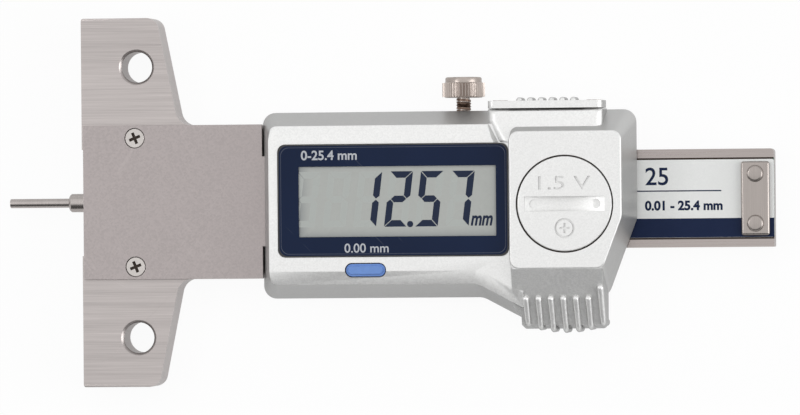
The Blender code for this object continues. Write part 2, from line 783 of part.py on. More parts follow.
def make_cover_plate():
    half = STEM_WIDTH / 2
    corners = [
        (COVER_LEFT_X, -half),
        (COVER_RIGHT_X, -half),
        (COVER_RIGHT_X, -TONGUE_HALF_WIDTH),
        (TONGUE_END_X, -TONGUE_HALF_WIDTH),
        (TONGUE_END_X, TONGUE_HALF_WIDTH),
        (COVER_RIGHT_X, TONGUE_HALF_WIDTH),
        (COVER_RIGHT_X, half),
        (COVER_LEFT_X, half),
    ]
    low = COVER_LOW_Z
    high = low + COVER_THICK
    cover = plate("cover_plate", [corners], low, high)
    for side in (1, -1):
        place = (COVER_SCREW_X, side * COVER_SCREW_Y, high - HEAD_SINK)
        size = (COVER_HEAD_R, COVER_HEAD_HEIGHT, SMALL_SHANK_R, COVER_SCREW_LENGTH)
        cut(cover, screw_hole(f"cover_hole_{side}", *size, place, "Z"))
        name = "cover_screw_upper" if side == 1 else "cover_screw_lower"
        countersunk_screw(name, *size, place, "Z", ROOT)
    return link_part(cover, "blasted_steel", ROOT)


def make_back_plate():
    low = (BACK_LEFT_X, -BACK_HALF_WIDTH, 0)
    back = box("back_plate", low, (BACK_RIGHT_X, BACK_HALF_WIDTH, BACK_THICK))
    places = [(x, side, STEM_SCREW_LENGTH, "stem") for x in STEM_SCREW_XS for side in (1, -1)]
    places += [(x, side, HOUSING_SCREW_LENGTH, "housing") for x, side in HOUSING_SCREW_PLACES]
    counts = {"stem": 0, "housing": 0}
    for x, side, length, kind in places:
        counts[kind] += 1
        name = f"{kind}_screw_{counts[kind]}"
        place = (x, side * BACK_SCREW_Y, HEAD_SINK)
        size = (SMALL_HEAD_R, SMALL_HEAD_HEIGHT, SMALL_SHANK_R, length)
        cut(back, screw_hole(name + "_hole", *size, place, "-Z"))
        countersunk_screw(name, *size, place, "-Z", ROOT)
    return link_part(back, "ground_steel", ROOT)


def rim_corners():
    """The housing's outline at its rim, counter-clockwise from the lower left."""
    return [
        (HOUSING_LEFT_X, HOUSING_BOTTOM_Y),
        (SLANT_BOTTOM_X, HOUSING_BOTTOM_Y),
        (HOUSING_RIGHT_X, SLANT_TOP_Y),
        (HOUSING_RIGHT_X, HOUSING_TOP_Y),
        (HOUSING_LEFT_X, HOUSING_TOP_Y),
    ]


def rim_offset(distance):
    """The rim's outline moved inwards all round, with its corner radii."""
    corners = inset(rim_corners(), [distance] * len(rim_corners()))
    inner_r = max(OUTER_CORNER_R - distance, SEAT_GAP)
    slant_r = SLANT_CORNER_R - distance
    return rounded(corners, [inner_r, inner_r, max(slant_r, SEAT_GAP), inner_r, inner_r])


def make_slider_frame():
    low = (FRAME_LEFT_X, -FRAME_HALF_WIDTH, BACK_THICK + SEAT_GAP)
    frame = box("slider_frame", low, (FRAME_RIGHT_X, FRAME_HALF_WIDTH, RAIL_TOP))
    flange_inset = WALL + SEAT_GAP + SEAL_WIDTH + SEAT_GAP
    web_low = (HOUSING_LEFT_X + flange_inset, -FRAME_HALF_WIDTH, RAIL_TOP - OVERRUN)
    web_high = (FRAME_RIGHT_X - WEB_INSET, FRAME_HALF_WIDTH, RIM_Z + SEAT_GAP)
    join(frame, box("flange_web", web_low, web_high))
    join(frame, plate("flange", [rim_offset(flange_inset)], RIM_Z, FLANGE_TOP))
    slot_low = (FRAME_LEFT_X - OVERRUN, -BEAM_HALF - RUN_GAP, 0)
    cut(frame, box("beam_slot", slot_low, (FRAME_RIGHT_X + OVERRUN, SLOT_HIGH_Y, SLOT_CEILING_Z)))
    pickup_low = (PICKUP_LEFT_X, -PICKUP_HALF_WIDTH, 0)
    cut(frame, box("pickup_window", pickup_low, (PICKUP_RIGHT_X, PICKUP_HALF_WIDTH, FLANGE_TOP + OVERRUN)))
    for index, (x, side) in enumerate(HOUSING_SCREW_PLACES):
        place = (x, side * BACK_SCREW_Y, 0)
        cut(frame, shank_hole(f"frame_hole_{index}", SMALL_SHANK_R, 0, FLANGE_TOP + OVERRUN, place))
    for x in (GIB_SCREW_LEFT_X, GIB_SCREW_RIGHT_X):
        reach = FRAME_HALF_WIDTH + OVERRUN
        place = (x, 0, PROBE_Z)
        cut(frame, shank_hole(f"gib_bore_{x:.3f}", GIB_SCREW_R, BEAM_HALF, reach, place, "Y"))
    clamp_low = SLOT_HIGH_Y - OVERRUN
    clamp_high = FRAME_HALF_WIDTH + OVERRUN
    bore_r = CLAMP_THREAD_R + BORE_GAP + SEAT_GAP / 2
    cut(frame, rod_between("clamp_bore", bore_r, clamp_low, clamp_high, (CLAMP_X, 0, CLAMP_Z), "Y"))
    return link_part(frame, "ground_steel", ROOT)


def make_gib():
    low_z = BEAM_LOW_Z + RUN_GAP
    high_z = BEAM_HIGH_Z - RUN_GAP
    gib = box("gib_strip", (GIB_LEFT_X, GIB_LOW_Y, low_z), (GIB_RIGHT_X, GIB_HIGH_Y, high_z))
    link_part(gib, "brass", ROOT)
    names = {"gib_screw_left": GIB_SCREW_LEFT_X, "gib_screw_right": GIB_SCREW_RIGHT_X}
    for name, x in names.items():
        low = GIB_HIGH_Y + SEAT_GAP
        high = low + GIB_SCREW_LENGTH
        screw = rod_between(name, GIB_SCREW_R, low, high, (x, 0, PROBE_Z), "Y", SMALL_SIDES)
        half = GIB_SLOT_WIDTH / 2
        slot_low = (x - GIB_SCREW_R - OVERRUN, high - GIB_SLOT_DEPTH, PROBE_Z - half)
        cut(screw, box(name + "_slot", slot_low, (x + GIB_SCREW_R + OVERRUN, high + OVERRUN, PROBE_Z + half)))
        link_part(screw, "bright_steel", ROOT)


def make_wiper():
    low = FRAME_RIGHT_X + SEAT_GAP
    bottom = BEAM_LOW_Z - WIPER_PLAY
    top = BEAM_HIGH_Z + WIPER_PLAY
    half = BEAM_HALF + WIPER_PLAY
    ring_low = BACK_THICK - SEAT_GAP - SEAT_GAP
    outer = [
        (-WIPER_HALF_WIDTH, ring_low),
        (WIPER_HALF_WIDTH, ring_low),
        (WIPER_HALF_WIDTH, RIM_Z - SEAT_GAP),
        (-WIPER_HALF_WIDTH, RIM_Z - SEAT_GAP),
    ]
    inner = [(-half, bottom), (half, bottom), (half, top), (-half, top)]
    wiper = plate("beam_wiper", [outer, inner], low, low + WIPER_THICK, "YZ")
    return link_part(wiper, "black_rubber", ROOT)


def make_beam():
    corners = [
        (BEAM_LEFT_X, -BEAM_HALF),
        (BEAM_RIGHT_X, -BEAM_HALF),
        (BEAM_RIGHT_X, BEAM_HALF),
        (BEAM_LEFT_X, BEAM_HALF),
    ]
    beam = plate("beam", [rounded(corners, [BEAM_CORNER_R] * 4, SMALL_STEPS)], BEAM_LOW_Z, BEAM_HIGH_Z)
    recess_half = LABEL_WIDTH / 2 + LABEL_PLAY
    recess_low = BEAM_HIGH_Z - LABEL_THICK - SCALE_THICK - 2 * LAYER_GAP
    left = LABEL_LEFT_X - LABEL_PLAY
    high = (BEAM_RIGHT_X + OVERRUN, recess_half, BEAM_HIGH_Z + OVERRUN)
    cut(beam, box("label_recess", (left, -recess_half, recess_low), high))
    tail_end = ROD_TAIL_LENGTH + OVERRUN
    tail = rod_between("tail_hole", ROD_TAIL_R + BORE_GAP, -OVERRUN, tail_end, (BEAM_LEFT_X, 0, PROBE_Z), "X")
    cut(beam, tail)
    for side in (1, -1):
        cut(beam, rivet_hole(side))
    return link_part(beam, "ground_steel", BEAM_GROUP)


def rivet_x():
    return STOP_LEFT_X + STOP_LENGTH / 2


def rivet_hole(side):
    place = (rivet_x(), side * RIVET_SPACING / 2, 0)
    return shank_hole(f"rivet_hole_{side}", RIVET_SHANK_R, 0, RIM_Z + OVERRUN, place)


def make_scale():
    half = LABEL_WIDTH / 2
    low = BEAM_HIGH_Z - LABEL_THICK - LAYER_GAP - SCALE_THICK
    scale = box("scale_strip", (LABEL_LEFT_X, -half, low), (BEAM_RIGHT_X, half, low + SCALE_THICK))
    label_low = BEAM_HIGH_Z - LABEL_THICK
    label = box("scale_label", (LABEL_LEFT_X, -half, label_low), (BEAM_RIGHT_X, half, BEAM_HIGH_Z))
    for side in (1, -1):
        cut(scale, rivet_hole(side))
        cut(label, rivet_hole(side))
    link_part(scale, "circuit_green", BEAM_GROUP)
    link_part(label, "label_grey", BEAM_GROUP)


def make_stop():
    low = BEAM_HIGH_Z + SEAT_GAP
    high = low + STOP_THICK
    half = STOP_HEIGHT / 2
    stop = box("stop_plate", (STOP_LEFT_X, -half, low), (STOP_LEFT_X + STOP_LENGTH, half, high))
    bevel(stop, STOP_BEVEL)
    bake(stop)
    for side in (1, -1):
        cut(stop, rivet_hole(side))
        name = "stop_rivet_upper" if side == 1 else "stop_rivet_lower"
        head_low = high + SEAT_GAP
        head_high = head_low + RIVET_HEAD_THICK
        profile = [
            (0, head_high),
            (RIVET_FLAT_R, head_high),
            ((RIVET_FLAT_R + RIVET_HEAD_R) / 2, head_high - RIVET_HEAD_THICK / 4),
            (RIVET_HEAD_R, head_low),
            (RIVET_SHANK_R, head_low),
            (RIVET_SHANK_R, BEAM_LOW_Z),
            (0, BEAM_LOW_Z),
        ]
        rivet = turned(name, profile, (rivet_x(), side * RIVET_SPACING / 2, 0))
        link_part(rivet, "bright_steel", BEAM_GROUP)
    return link_part(stop, "bright_steel", BEAM_GROUP)


def make_probe():
    shoulder = PIN_LENGTH - READING
    tail_start = BEAM_LEFT_X - SEAT_GAP
    tip = -READING
    profile = [
        (0, tail_start + ROD_TAIL_LENGTH),
        (ROD_TAIL_R, tail_start + ROD_TAIL_LENGTH),
        (ROD_TAIL_R, tail_start),
        (ROD_R, tail_start),
        (ROD_R, shoulder + ROD_CHAMFER),
        (ROD_R - ROD_CHAMFER, shoulder),
        (PIN_R, shoulder),
        (PIN_R, tip + PIN_TIP_R),
        (PIN_R - PIN_TIP_R, tip),
        (0, tip),
    ]
    probe = turned("probe_rod", profile, (0, 0, PROBE_Z), "X")
    return link_part(probe, "bright_steel", BEAM_GROUP)


def make_clamp():
    shoe_low = GIB_HIGH_Y + SEAT_GAP
    shoe_high = shoe_low + SHOE_THICK
    place = (CLAMP_X, 0, CLAMP_Z)
    shoe = rod_between("clamp_shoe", SHOE_R, shoe_low, shoe_high, place, "Y", SMALL_SIDES)
    link_part(shoe, "brass", SHOE_GROUP)
    root_r = CLAMP_KNURL_R - KNURL_DEPTH
    profile = [
        (0, CLAMP_TOP_Y),
        (CLAMP_CROWN_R - CLAMP_EDGE, CLAMP_TOP_Y),
        (CLAMP_CROWN_R, CLAMP_TOP_Y - CLAMP_EDGE),
        (CLAMP_CROWN_R, CLAMP_KNURL_HIGH_Y),
        (root_r - CLAMP_EDGE, CLAMP_KNURL_HIGH_Y),
        (root_r, CLAMP_KNURL_HIGH_Y - CLAMP_EDGE),
        (root_r, CLAMP_KNURL_LOW_Y + CLAMP_EDGE),
        (root_r - CLAMP_EDGE, CLAMP_KNURL_LOW_Y),
        (CLAMP_THREAD_R, CLAMP_KNURL_LOW_Y),
        (CLAMP_THREAD_R, shoe_high + SEAT_GAP + CLAMP_EDGE),
        (CLAMP_THREAD_R - CLAMP_EDGE, shoe_high + SEAT_GAP),
        (0, shoe_high + SEAT_GAP),
    ]
    screw = turned("clamp_screw", profile, place, "Y")
    low = CLAMP_KNURL_LOW_Y + CLAMP_EDGE
    high = CLAMP_KNURL_HIGH_Y - CLAMP_EDGE
    teeth = []
    for index in range(2 * KNURL_TEETH):
        angle = math.pi * index / KNURL_TEETH
        radius = CLAMP_KNURL_R if index % 2 == 0 else root_r
        teeth.append((CLAMP_X + radius * math.cos(angle), CLAMP_Z + radius * math.sin(angle)))
    join(screw, plate("knurl", [teeth], -high, -low, "XZ"))
    return link_part(screw, "bright_steel", CLAMP_GROUP)


def display_rings():
    """Rings of the display part: rim, wall's top edge, and face behind the facets."""
    fall = (DISPLAY_END_X - FLARE_X) * FLARE_FALL_SHARE
    corners = [
        (HOUSING_LEFT_X, HOUSING_BOTTOM_Y),
        (FLARE_X, HOUSING_BOTTOM_Y),
        (DISPLAY_END_X, HOUSING_BOTTOM_Y - fall),
        (DISPLAY_END_X, HOUSING_TOP_Y),
        (HOUSING_LEFT_X, HOUSING_TOP_Y),
    ]
    radii = [OUTER_CORNER_R, FLARE_R, SEAT_GAP, SEAT_GAP, OUTER_CORNER_R]
    wall = inset(corners, [LONG_DRAFT, SIDE_DRAFT, 0, LONG_DRAFT, SIDE_DRAFT])
    wall_radii = [FACE_CORNER_R, FLARE_R, SEAT_GAP, SEAT_GAP, FACE_CORNER_R]
    across = LONG_DRAFT + FACET_WIDTH
    face = inset(corners, [across, SIDE_DRAFT + FACET_WIDTH, 0, across, SIDE_DRAFT + LEFT_EASE])
    return [
        level(rounded(corners, radii), RIM_Z),
        level(rounded(wall, wall_radii), EDGE_Z),
        level(rounded(face, [SEAT_GAP, FLARE_R, SEAT_GAP, SEAT_GAP, SEAT_GAP]), FACE_Z),
    ]


def block_rings():
    """Rings of the raised block: rim, just under the top edge, and top face."""
    corners = rim_corners()
    corners[0] = (BLOCK_LEFT_X, HOUSING_BOTTOM_Y)
    corners[4] = (BLOCK_LEFT_X, HOUSING_TOP_Y)
    bottom = BLOCK_BOTTOM_Y - HOUSING_BOTTOM_Y
    top = HOUSING_TOP_Y - BLOCK_TOP_Y
    right = BLOCK_RIGHT_EASE
    upper = inset(corners, [bottom, right, right, top, 0])
    corner = BLOCK_CORNER_R
    upper_radii = [SEAT_GAP + BLOCK_EDGE, corner, SLANT_CORNER_R, corner, corner]
    lower_radii = [SEAT_GAP, OUTER_CORNER_R, SLANT_CORNER_R, OUTER_CORNER_R, SEAT_GAP]
    face = inset(upper, [BLOCK_EDGE / 2] * 5)
    face_radii = [radius - BLOCK_EDGE / 2 for radius in upper_radii]
    return [
        level(rounded(corners, lower_radii), RIM_Z),
        level(rounded(upper, upper_radii), BLOCK_Z - BLOCK_EDGE / 2),
        level(rounded(face, face_radii), BLOCK_Z),
    ]


def grip_slope_z(y):
    share = (BLOCK_BOTTOM_Y - y) / (BLOCK_BOTTOM_Y - GRIP_BOTTOM_Y - GRIP_DRAFT)
    return BLOCK_Z - share * (BLOCK_Z - GRIP_KNEE_Z)


def grip_rings():
    """Rings of the thumb grip's wedge: rim, knee, and its edge along the block's face."""
    inner_y = BLOCK_BOTTOM_Y + BLOCK_CORNER_R
    corners = [
        (GRIP_LEFT_X, GRIP_BOTTOM_Y),
        (SLANT_BOTTOM_X, GRIP_BOTTOM_Y),
        (SLANT_BOTTOM_X, inner_y),
        (GRIP_LEFT_X, inner_y),
    ]
    knee = inset(corners, [GRIP_DRAFT, 0, 0, 0])
    rise = BLOCK_BOTTOM_Y - GRIP_BOTTOM_Y
    ease = BLOCK_EDGE / 2
    edge = inset(corners, [rise, ease, 0, 0])
    small = SEAT_GAP
    corner = GRIP_CORNER_R
    return [
        level(rounded(corners, [small, corner, small, small]), RIM_Z),
        level(rounded(knee, [small, corner, small, small]), GRIP_KNEE_Z),
        level(rounded(edge, [small, corner, small, small]), BLOCK_Z - ease),
    ]


def rib_plate(index):
    """One rib of the thumb grip: a fin over the slope, longer in the middle of the row."""
    middle = (RIB_COUNT - 1) / 2
    off = abs(index - middle) / middle
    bottom = GRIP_BOTTOM_Y - RIB_RISE + RIB_ARC_DROP * off * off
    knee_y = bottom + GRIP_DRAFT
    knee_z = grip_slope_z(knee_y) + RIB_RISE
    sunk = RIB_START_Y + RIB_RISE * 2
    outline = [
        (sunk, RIM_Z + SEAT_GAP),
        (bottom, RIM_Z + SEAT_GAP),
        (knee_y - GRIP_DRAFT / 3, knee_z - RIB_RISE),
        (knee_y, knee_z - RIB_RISE / 3),
        (RIB_START_Y, grip_slope_z(RIB_START_Y) + RIB_RISE / 2),
        (sunk, grip_slope_z(sunk) - RIB_RISE / 2),
    ]
    left = RIB_FIRST_X + index * RIB_PITCH - RIB_WIDTH / 2
    if index == RIB_COUNT - 1:
        return plate(f"rib_{index}", [outline], left, SLANT_BOTTOM_X - SEAT_GAP, "YZ")
    return plate(f"rib_{index}", [outline], left, left + RIB_WIDTH, "YZ")


def boss_rings():
    """Rings of the port's boss: its front leans down a little towards the cover."""
    foot = [(BOSS_LEFT_X, BOSS_FOOT_Y), (BOSS_RIGHT_X, BOSS_FOOT_Y)]
    corners = foot + [(BOSS_RIGHT_X, BOSS_TOP_Y), (BOSS_LEFT_X, BOSS_TOP_Y)]
    top = inset(corners, [0, BOSS_SIDE_EASE, BOSS_CORNER_R / 2, BOSS_SIDE_EASE])
    lean = (BOSS_FOOT_Z - BOSS_TOP_Z) / (BOSS_TOP_Y - BOSS_FOOT_Y)
    radii = [BOSS_CORNER_R] * 4
    small = [SEAT_GAP] * 4
    return [
        level(rounded(corners, small, SMALL_STEPS), RIM_Z + SEAT_GAP),
        level(rounded(corners, small, SMALL_STEPS), BOSS_SHOULDER_Z),
        level(rounded(top, radii, SMALL_STEPS), lambda point: BOSS_FOOT_Z - lean * (point[1] - BOSS_FOOT_Y)),
    ]


def display_cavity():
    """The room over the circuit board, with posts left for two of the housing's screws."""
    corners = [
        (HOUSING_LEFT_X, HOUSING_BOTTOM_Y),
        (CAVITY_RIGHT_X, HOUSING_BOTTOM_Y),
        (CAVITY_RIGHT_X, HOUSING_TOP_Y),
        (HOUSING_LEFT_X, HOUSING_TOP_Y),
    ]
    lean = (CAVITY_FLOOR_Z - RIM_Z) / (EDGE_Z - RIM_Z)
    top_lean = (ROOF_Z - RIM_Z) / (EDGE_Z - RIM_Z)
    long_low = WALL + LONG_DRAFT * lean
    long_top = WALL + LONG_DRAFT * top_lean
    low = inset(corners, [long_low, 0, long_low, WALL + SIDE_DRAFT * lean])
    top = inset(corners, [long_top, 0, long_top, WALL + SIDE_DRAFT * top_lean])
    radii = [OUTER_CORNER_R - WALL] * 4
    cavity = loft(
        "display_cavity",
        [
            level(rounded(low, radii, SMALL_STEPS), CAVITY_FLOOR_Z - OVERRUN),
            level(rounded(top, radii, SMALL_STEPS), ROOF_Z),
        ],
    )
    post_r = SMALL_SHANK_R + SEAT_GAP + WALL / 2
    for index, (x, side) in enumerate(HOUSING_SCREW_PLACES[:2]):
        place = (x, side * BACK_SCREW_Y, 0)
        high = ROOF_Z + OVERRUN
        cut(cavity, rod_between(f"post_{index}", post_r, CAVITY_FLOOR_Z, high, place, "Z", SMALL_SIDES))
    return bake(cavity)


def battery_well():
    bore = [
        (0, BLOCK_Z + OVERRUN),
        (CAP_BORE_R, BLOCK_Z + OVERRUN),
        (CAP_BORE_R, CAP_STEP_Z),
        (THREAD_BORE_R, CAP_STEP_Z),
        (THREAD_BORE_R, THREAD_FLOOR_Z),
        (WELL_R, THREAD_FLOOR_Z),
        (WELL_R, RIM_Z),
        (0, RIM_Z),
    ]
    return turned("battery_well", bore, (CAP_X, CAP_Y, 0), "Z", 2 * FINE_SIDES)


def window_outline(play):
    left = WINDOW_LEFT_X - play
    right = WINDOW_RIGHT_X + play
    half = WINDOW_HALF_HEIGHT + play
    corners = [(left, -half), (right, -half), (right, half), (left, half)]
    return rounded(corners, [WINDOW_R] * 4)


def make_housing():
    housing = loft("front_housing", display_rings())
    join(housing, loft("block", block_rings()))
    join(housing, loft("grip", grip_rings()))
    join(housing, loft("boss", boss_rings()))
    for index in range(RIB_COUNT):
        join(housing, rib_plate(index))
    cut(housing, plate("board_cavity", [rim_offset(WALL)], RIM_Z - OVERRUN, CAVITY_FLOOR_Z))
    cut(housing, display_cavity())
    recess_z = WINDOW_LOW_Z - SEAT_GAP
    cut(housing, plate("window_recess", [window_outline(WINDOW_PLAY)], recess_z, FACE_Z + SEAT_GAP))
    view_low = (VIEW_LEFT_X, -VIEW_HALF_HEIGHT, ROOF_Z - OVERRUN)
    cut(housing, box("view_opening", view_low, (VIEW_RIGHT_X, VIEW_HALF_HEIGHT, FACE_Z)))
    play = 2 * BUTTON_PLAY
    hole = stadium(BUTTON_LENGTH + play, BUTTON_WIDTH + play, (BUTTON_X, BUTTON_Y))
    cut(housing, plate("button_hole", [hole], BUTTON_NECK_Z, FACE_Z + OVERRUN))
    cut(housing, battery_well())
    clip_low = (CAP_X - CLIP_WIDTH / 2 - SOCKET_PLAY, CAP_Y - WELL_R - CLIP_POCKET_DEPTH, RIM_Z)
    clip_top = CAVITY_FLOOR_Z + CLIP_HEIGHT + SEAT_GAP
    clip_high = (CAP_X + CLIP_WIDTH / 2 + SOCKET_PLAY, CAP_Y - BATTERY_R, clip_top)
    cut(housing, box("clip_pocket", clip_low, clip_high))
    socket_low = (SOCKET_LEFT_X - SOCKET_PLAY, SOCKET_LOW_Y - SOCKET_PLAY, CAVITY_FLOOR_Z - SEAT_GAP)
    socket_high = (SOCKET_RIGHT_X + SOCKET_PLAY, BOSS_TOP_Y + OVERRUN, SOCKET_HIGH_Z + SOCKET_PLAY)
    cut(housing, box("socket_pocket", socket_low, socket_high))
    for x in (PORT_SCREW_LEFT_X, PORT_SCREW_RIGHT_X):
        depth = BOSS_TOP_Y + SEAT_GAP + PORT_COVER_THICK - PORT_HEAD_HEIGHT - PORT_SCREW_LENGTH
        place = (x, 0, PORT_SCREW_Z)
        high = BOSS_TOP_Y + OVERRUN
        cut(housing, shank_hole(f"port_thread_{x:.3f}", PORT_SHANK_R, depth, high, place, "Y"))
    for index, (x, side) in enumerate(HOUSING_SCREW_PLACES):
        place = (x, side * BACK_SCREW_Y, 0)
        high = HOUSING_SCREW_LENGTH + SEAT_GAP
        cut(housing, shank_hole(f"post_thread_{index}", SMALL_SHANK_R, RIM_Z, high, place))
    notch_half = TONGUE_HALF_WIDTH + SEAT_GAP
    notch_low = (HOUSING_LEFT_X - OVERRUN, -notch_half, COVER_LOW_Z - SEAT_GAP)
    notch_high = (TONGUE_END_X + SEAT_GAP, notch_half, COVER_LOW_Z + COVER_THICK + SEAT_GAP)
    cut(housing, box("tongue_notch", notch_low, notch_high))
    return link_part(housing, "silver_paint", ROOT)


def make_seal():
    outer = rim_offset(WALL + SEAT_GAP)
    inner = rim_offset(WALL + SEAT_GAP + SEAL_WIDTH)
    low = RIM_Z + SEAT_GAP
    seal = plate("housing_seal", [outer, inner], low, low + SEAL_THICK)
    return link_part(seal, "black_rubber", ROOT)


def make_window():
    low = WINDOW_LOW_Z
    window = plate("display_window", [window_outline(0)], low, FACE_Z + WINDOW_PROUD)
    return link_part(window, "navy_window", ROOT)


def make_display():
    low = (LCD_LEFT_X, -LCD_HALF_HEIGHT, LCD_LOW_Z)
    lcd = box("lcd_panel", low, (LCD_RIGHT_X, LCD_HALF_HEIGHT, LCD_HIGH_Z))
    link_part(lcd, "lcd_glass", ROOT)
    names = {"lcd_strip_upper": 1, "lcd_strip_lower": -1}
    for name, side in names.items():
        middle = side * (LCD_HALF_HEIGHT - STRIP_WIDTH)
        strip_low = (LCD_LEFT_X + STRIP_INSET, middle - STRIP_WIDTH / 2, BOARD_TOP_Z + SEAT_GAP)
        strip_high = (LCD_RIGHT_X - STRIP_INSET, middle + STRIP_WIDTH / 2, LCD_LOW_Z - SEAT_GAP)
        link_part(box(name, strip_low, strip_high), "black_rubber", ROOT)


def make_boards():
    outline = [
        (BOARD_LEFT_X, BOARD_BOTTOM_Y),
        (BOARD_CUT_X, BOARD_BOTTOM_Y),
        (BOARD_RIGHT_X, BOARD_CUT_Y),
        (BOARD_RIGHT_X, BOARD_TOP_Y),
        (BOARD_LEFT_X, BOARD_TOP_Y),
    ]
    board = plate("circuit_board", [outline], BOARD_Z, BOARD_TOP_Z)
    link_part(board, "circuit_green", ROOT)
    low_z = FLANGE_TOP - PICKUP_THICK
    low = (PICKUP_LEFT_X + SEAT_GAP, SEAT_GAP - PICKUP_HALF_WIDTH, low_z)
    high = (PICKUP_RIGHT_X - SEAT_GAP, PICKUP_HALF_WIDTH - SEAT_GAP, FLANGE_TOP)
    link_part(box("pickup_board", low, high), "circuit_green", ROOT)


def make_button():
    place = (BUTTON_X, BUTTON_Y)
    crown_z = BUTTON_TOP_Z - BUTTON_CROWN
    full = stadium(BUTTON_LENGTH, BUTTON_WIDTH, place)
    crown = stadium(BUTTON_LENGTH - BUTTON_CROWN, BUTTON_WIDTH - BUTTON_CROWN, place)
    rings = [level(full, BUTTON_NECK_Z - SEAT_GAP), level(full, crown_z), level(crown, BUTTON_TOP_Z)]
    button = loft("set_button", rings)
    grow = 2 * BUTTON_FLANGE
    flange_low = BUTTON_NECK_Z - BUTTON_FLANGE_THICK
    wide = stadium(BUTTON_LENGTH + grow, BUTTON_WIDTH + grow, place)
    join(button, plate("button_flange", [wide], flange_low, BUTTON_NECK_Z))
    stem_top = BUTTON_NECK_Z - SEAT_GAP
    stem = rod_between("button_stem", BUTTON_STEM_R, BUTTON_STEM_Z, stem_top, (*place, 0), "Z", SMALL_SIDES)
    join(button, stem)
    link_part(button, "blue_key", BUTTON_GROUP)
    inner = stadium(BUTTON_LENGTH + BUTTON_PLAY, BUTTON_WIDTH + BUTTON_PLAY, place)
    seal_low = BUTTON_NECK_Z + SEAT_GAP
    seal = plate("button_seal", [wide, inner], seal_low, ROOF_Z - SEAT_GAP)
    link_part(seal, "black_rubber", ROOT)
    low = (BUTTON_X - SWITCH_LENGTH / 2, BUTTON_Y - SWITCH_WIDTH / 2, BOARD_TOP_Z + SEAT_GAP)
    high = (BUTTON_X + SWITCH_LENGTH / 2, BUTTON_Y + SWITCH_WIDTH / 2, SWITCH_TOP_Z)
    link_part(box("tact_switch", low, high), "black_plastic", ROOT)


def make_battery():
    place = (CAP_X, CAP_Y, 0)
    top = BATTERY_Z + BATTERY_HEIGHT
    profile = [
        (0, top),
        (BATTERY_R - BATTERY_STEP / 2, top),
        (BATTERY_R, top - BATTERY_STEP / 2),
        (BATTERY_R, BATTERY_Z + BATTERY_STEP),
        (BATTERY_R - BATTERY_STEP, BATTERY_Z + BATTERY_STEP / 2),
        (BATTERY_R - BATTERY_STEP, BATTERY_Z),
        (0, BATTERY_Z),
    ]
    link_part(turned("battery_cell", profile, place, "Z", FINE_SIDES), "bright_steel", ROOT)
    low = BOARD_TOP_Z + SEAT_GAP
    disc = rod_between("battery_contact", CONTACT_R, low, low + CONTACT_THICK, place)
    link_part(disc, "brass", ROOT)
    outer_y = CAP_Y - BATTERY_R - SEAT_GAP
    clip_low = (CAP_X - CLIP_WIDTH / 2, outer_y - CLIP_THICK, low)
    clip_high = (CAP_X + CLIP_WIDTH / 2, outer_y, low + CLIP_HEIGHT)
    link_part(box("battery_clip", clip_low, clip_high), "brass", ROOT)


def make_cap():
    place = (CAP_X, CAP_Y, 0)
    profile = [
        (0, CAP_TOP_Z),
        (CAP_R - CAP_EDGE, CAP_TOP_Z),
        (CAP_R, CAP_TOP_Z - CAP_EDGE),
        (CAP_R, CAP_SEAT_Z),
        (CAP_NECK_R, CAP_SEAT_Z),
        (CAP_NECK_R, CAP_NECK_Z),
        (CAP_HOLLOW_R, CAP_NECK_Z),
        (CAP_HOLLOW_R, CAP_HOLLOW_Z),
        (0, CAP_HOLLOW_Z),
    ]
    cap = turned("battery_cap", profile, place, "Z", 2 * FINE_SIDES)
    half = SLOT_LENGTH / 2
    arc_r = (half * half + SLOT_DEPTH * SLOT_DEPTH) / (2 * SLOT_DEPTH)
    slot_half = SLOT_WIDTH / 2
    slot_profile = [(0, slot_half), (arc_r, slot_half), (arc_r, -slot_half), (0, -slot_half)]
    slot_place = (CAP_X, CAP_Y, CAP_TOP_Z - SLOT_DEPTH + arc_r)
    cut(cap, turned("coin_slot", slot_profile, slot_place, "Y", 2 * FINE_SIDES))
    link_part(cap, "silver_paint", CAP_GROUP)
    ring_z = CAP_SEAT_Z - SEAT_GAP / 2 - SEAL_CORD_R
    ring = [
        (SEAL_RING_R + SEAL_CORD_R * math.sin(turn * DEG), ring_z + SEAL_CORD_R * math.cos(turn * DEG))
        for turn in range(0, FULL_TURN + 1, RING_STEP)
    ]
    link_part(turned("cap_seal", ring, place, "Z", FINE_SIDES), "black_rubber", SEAL_GROUP)


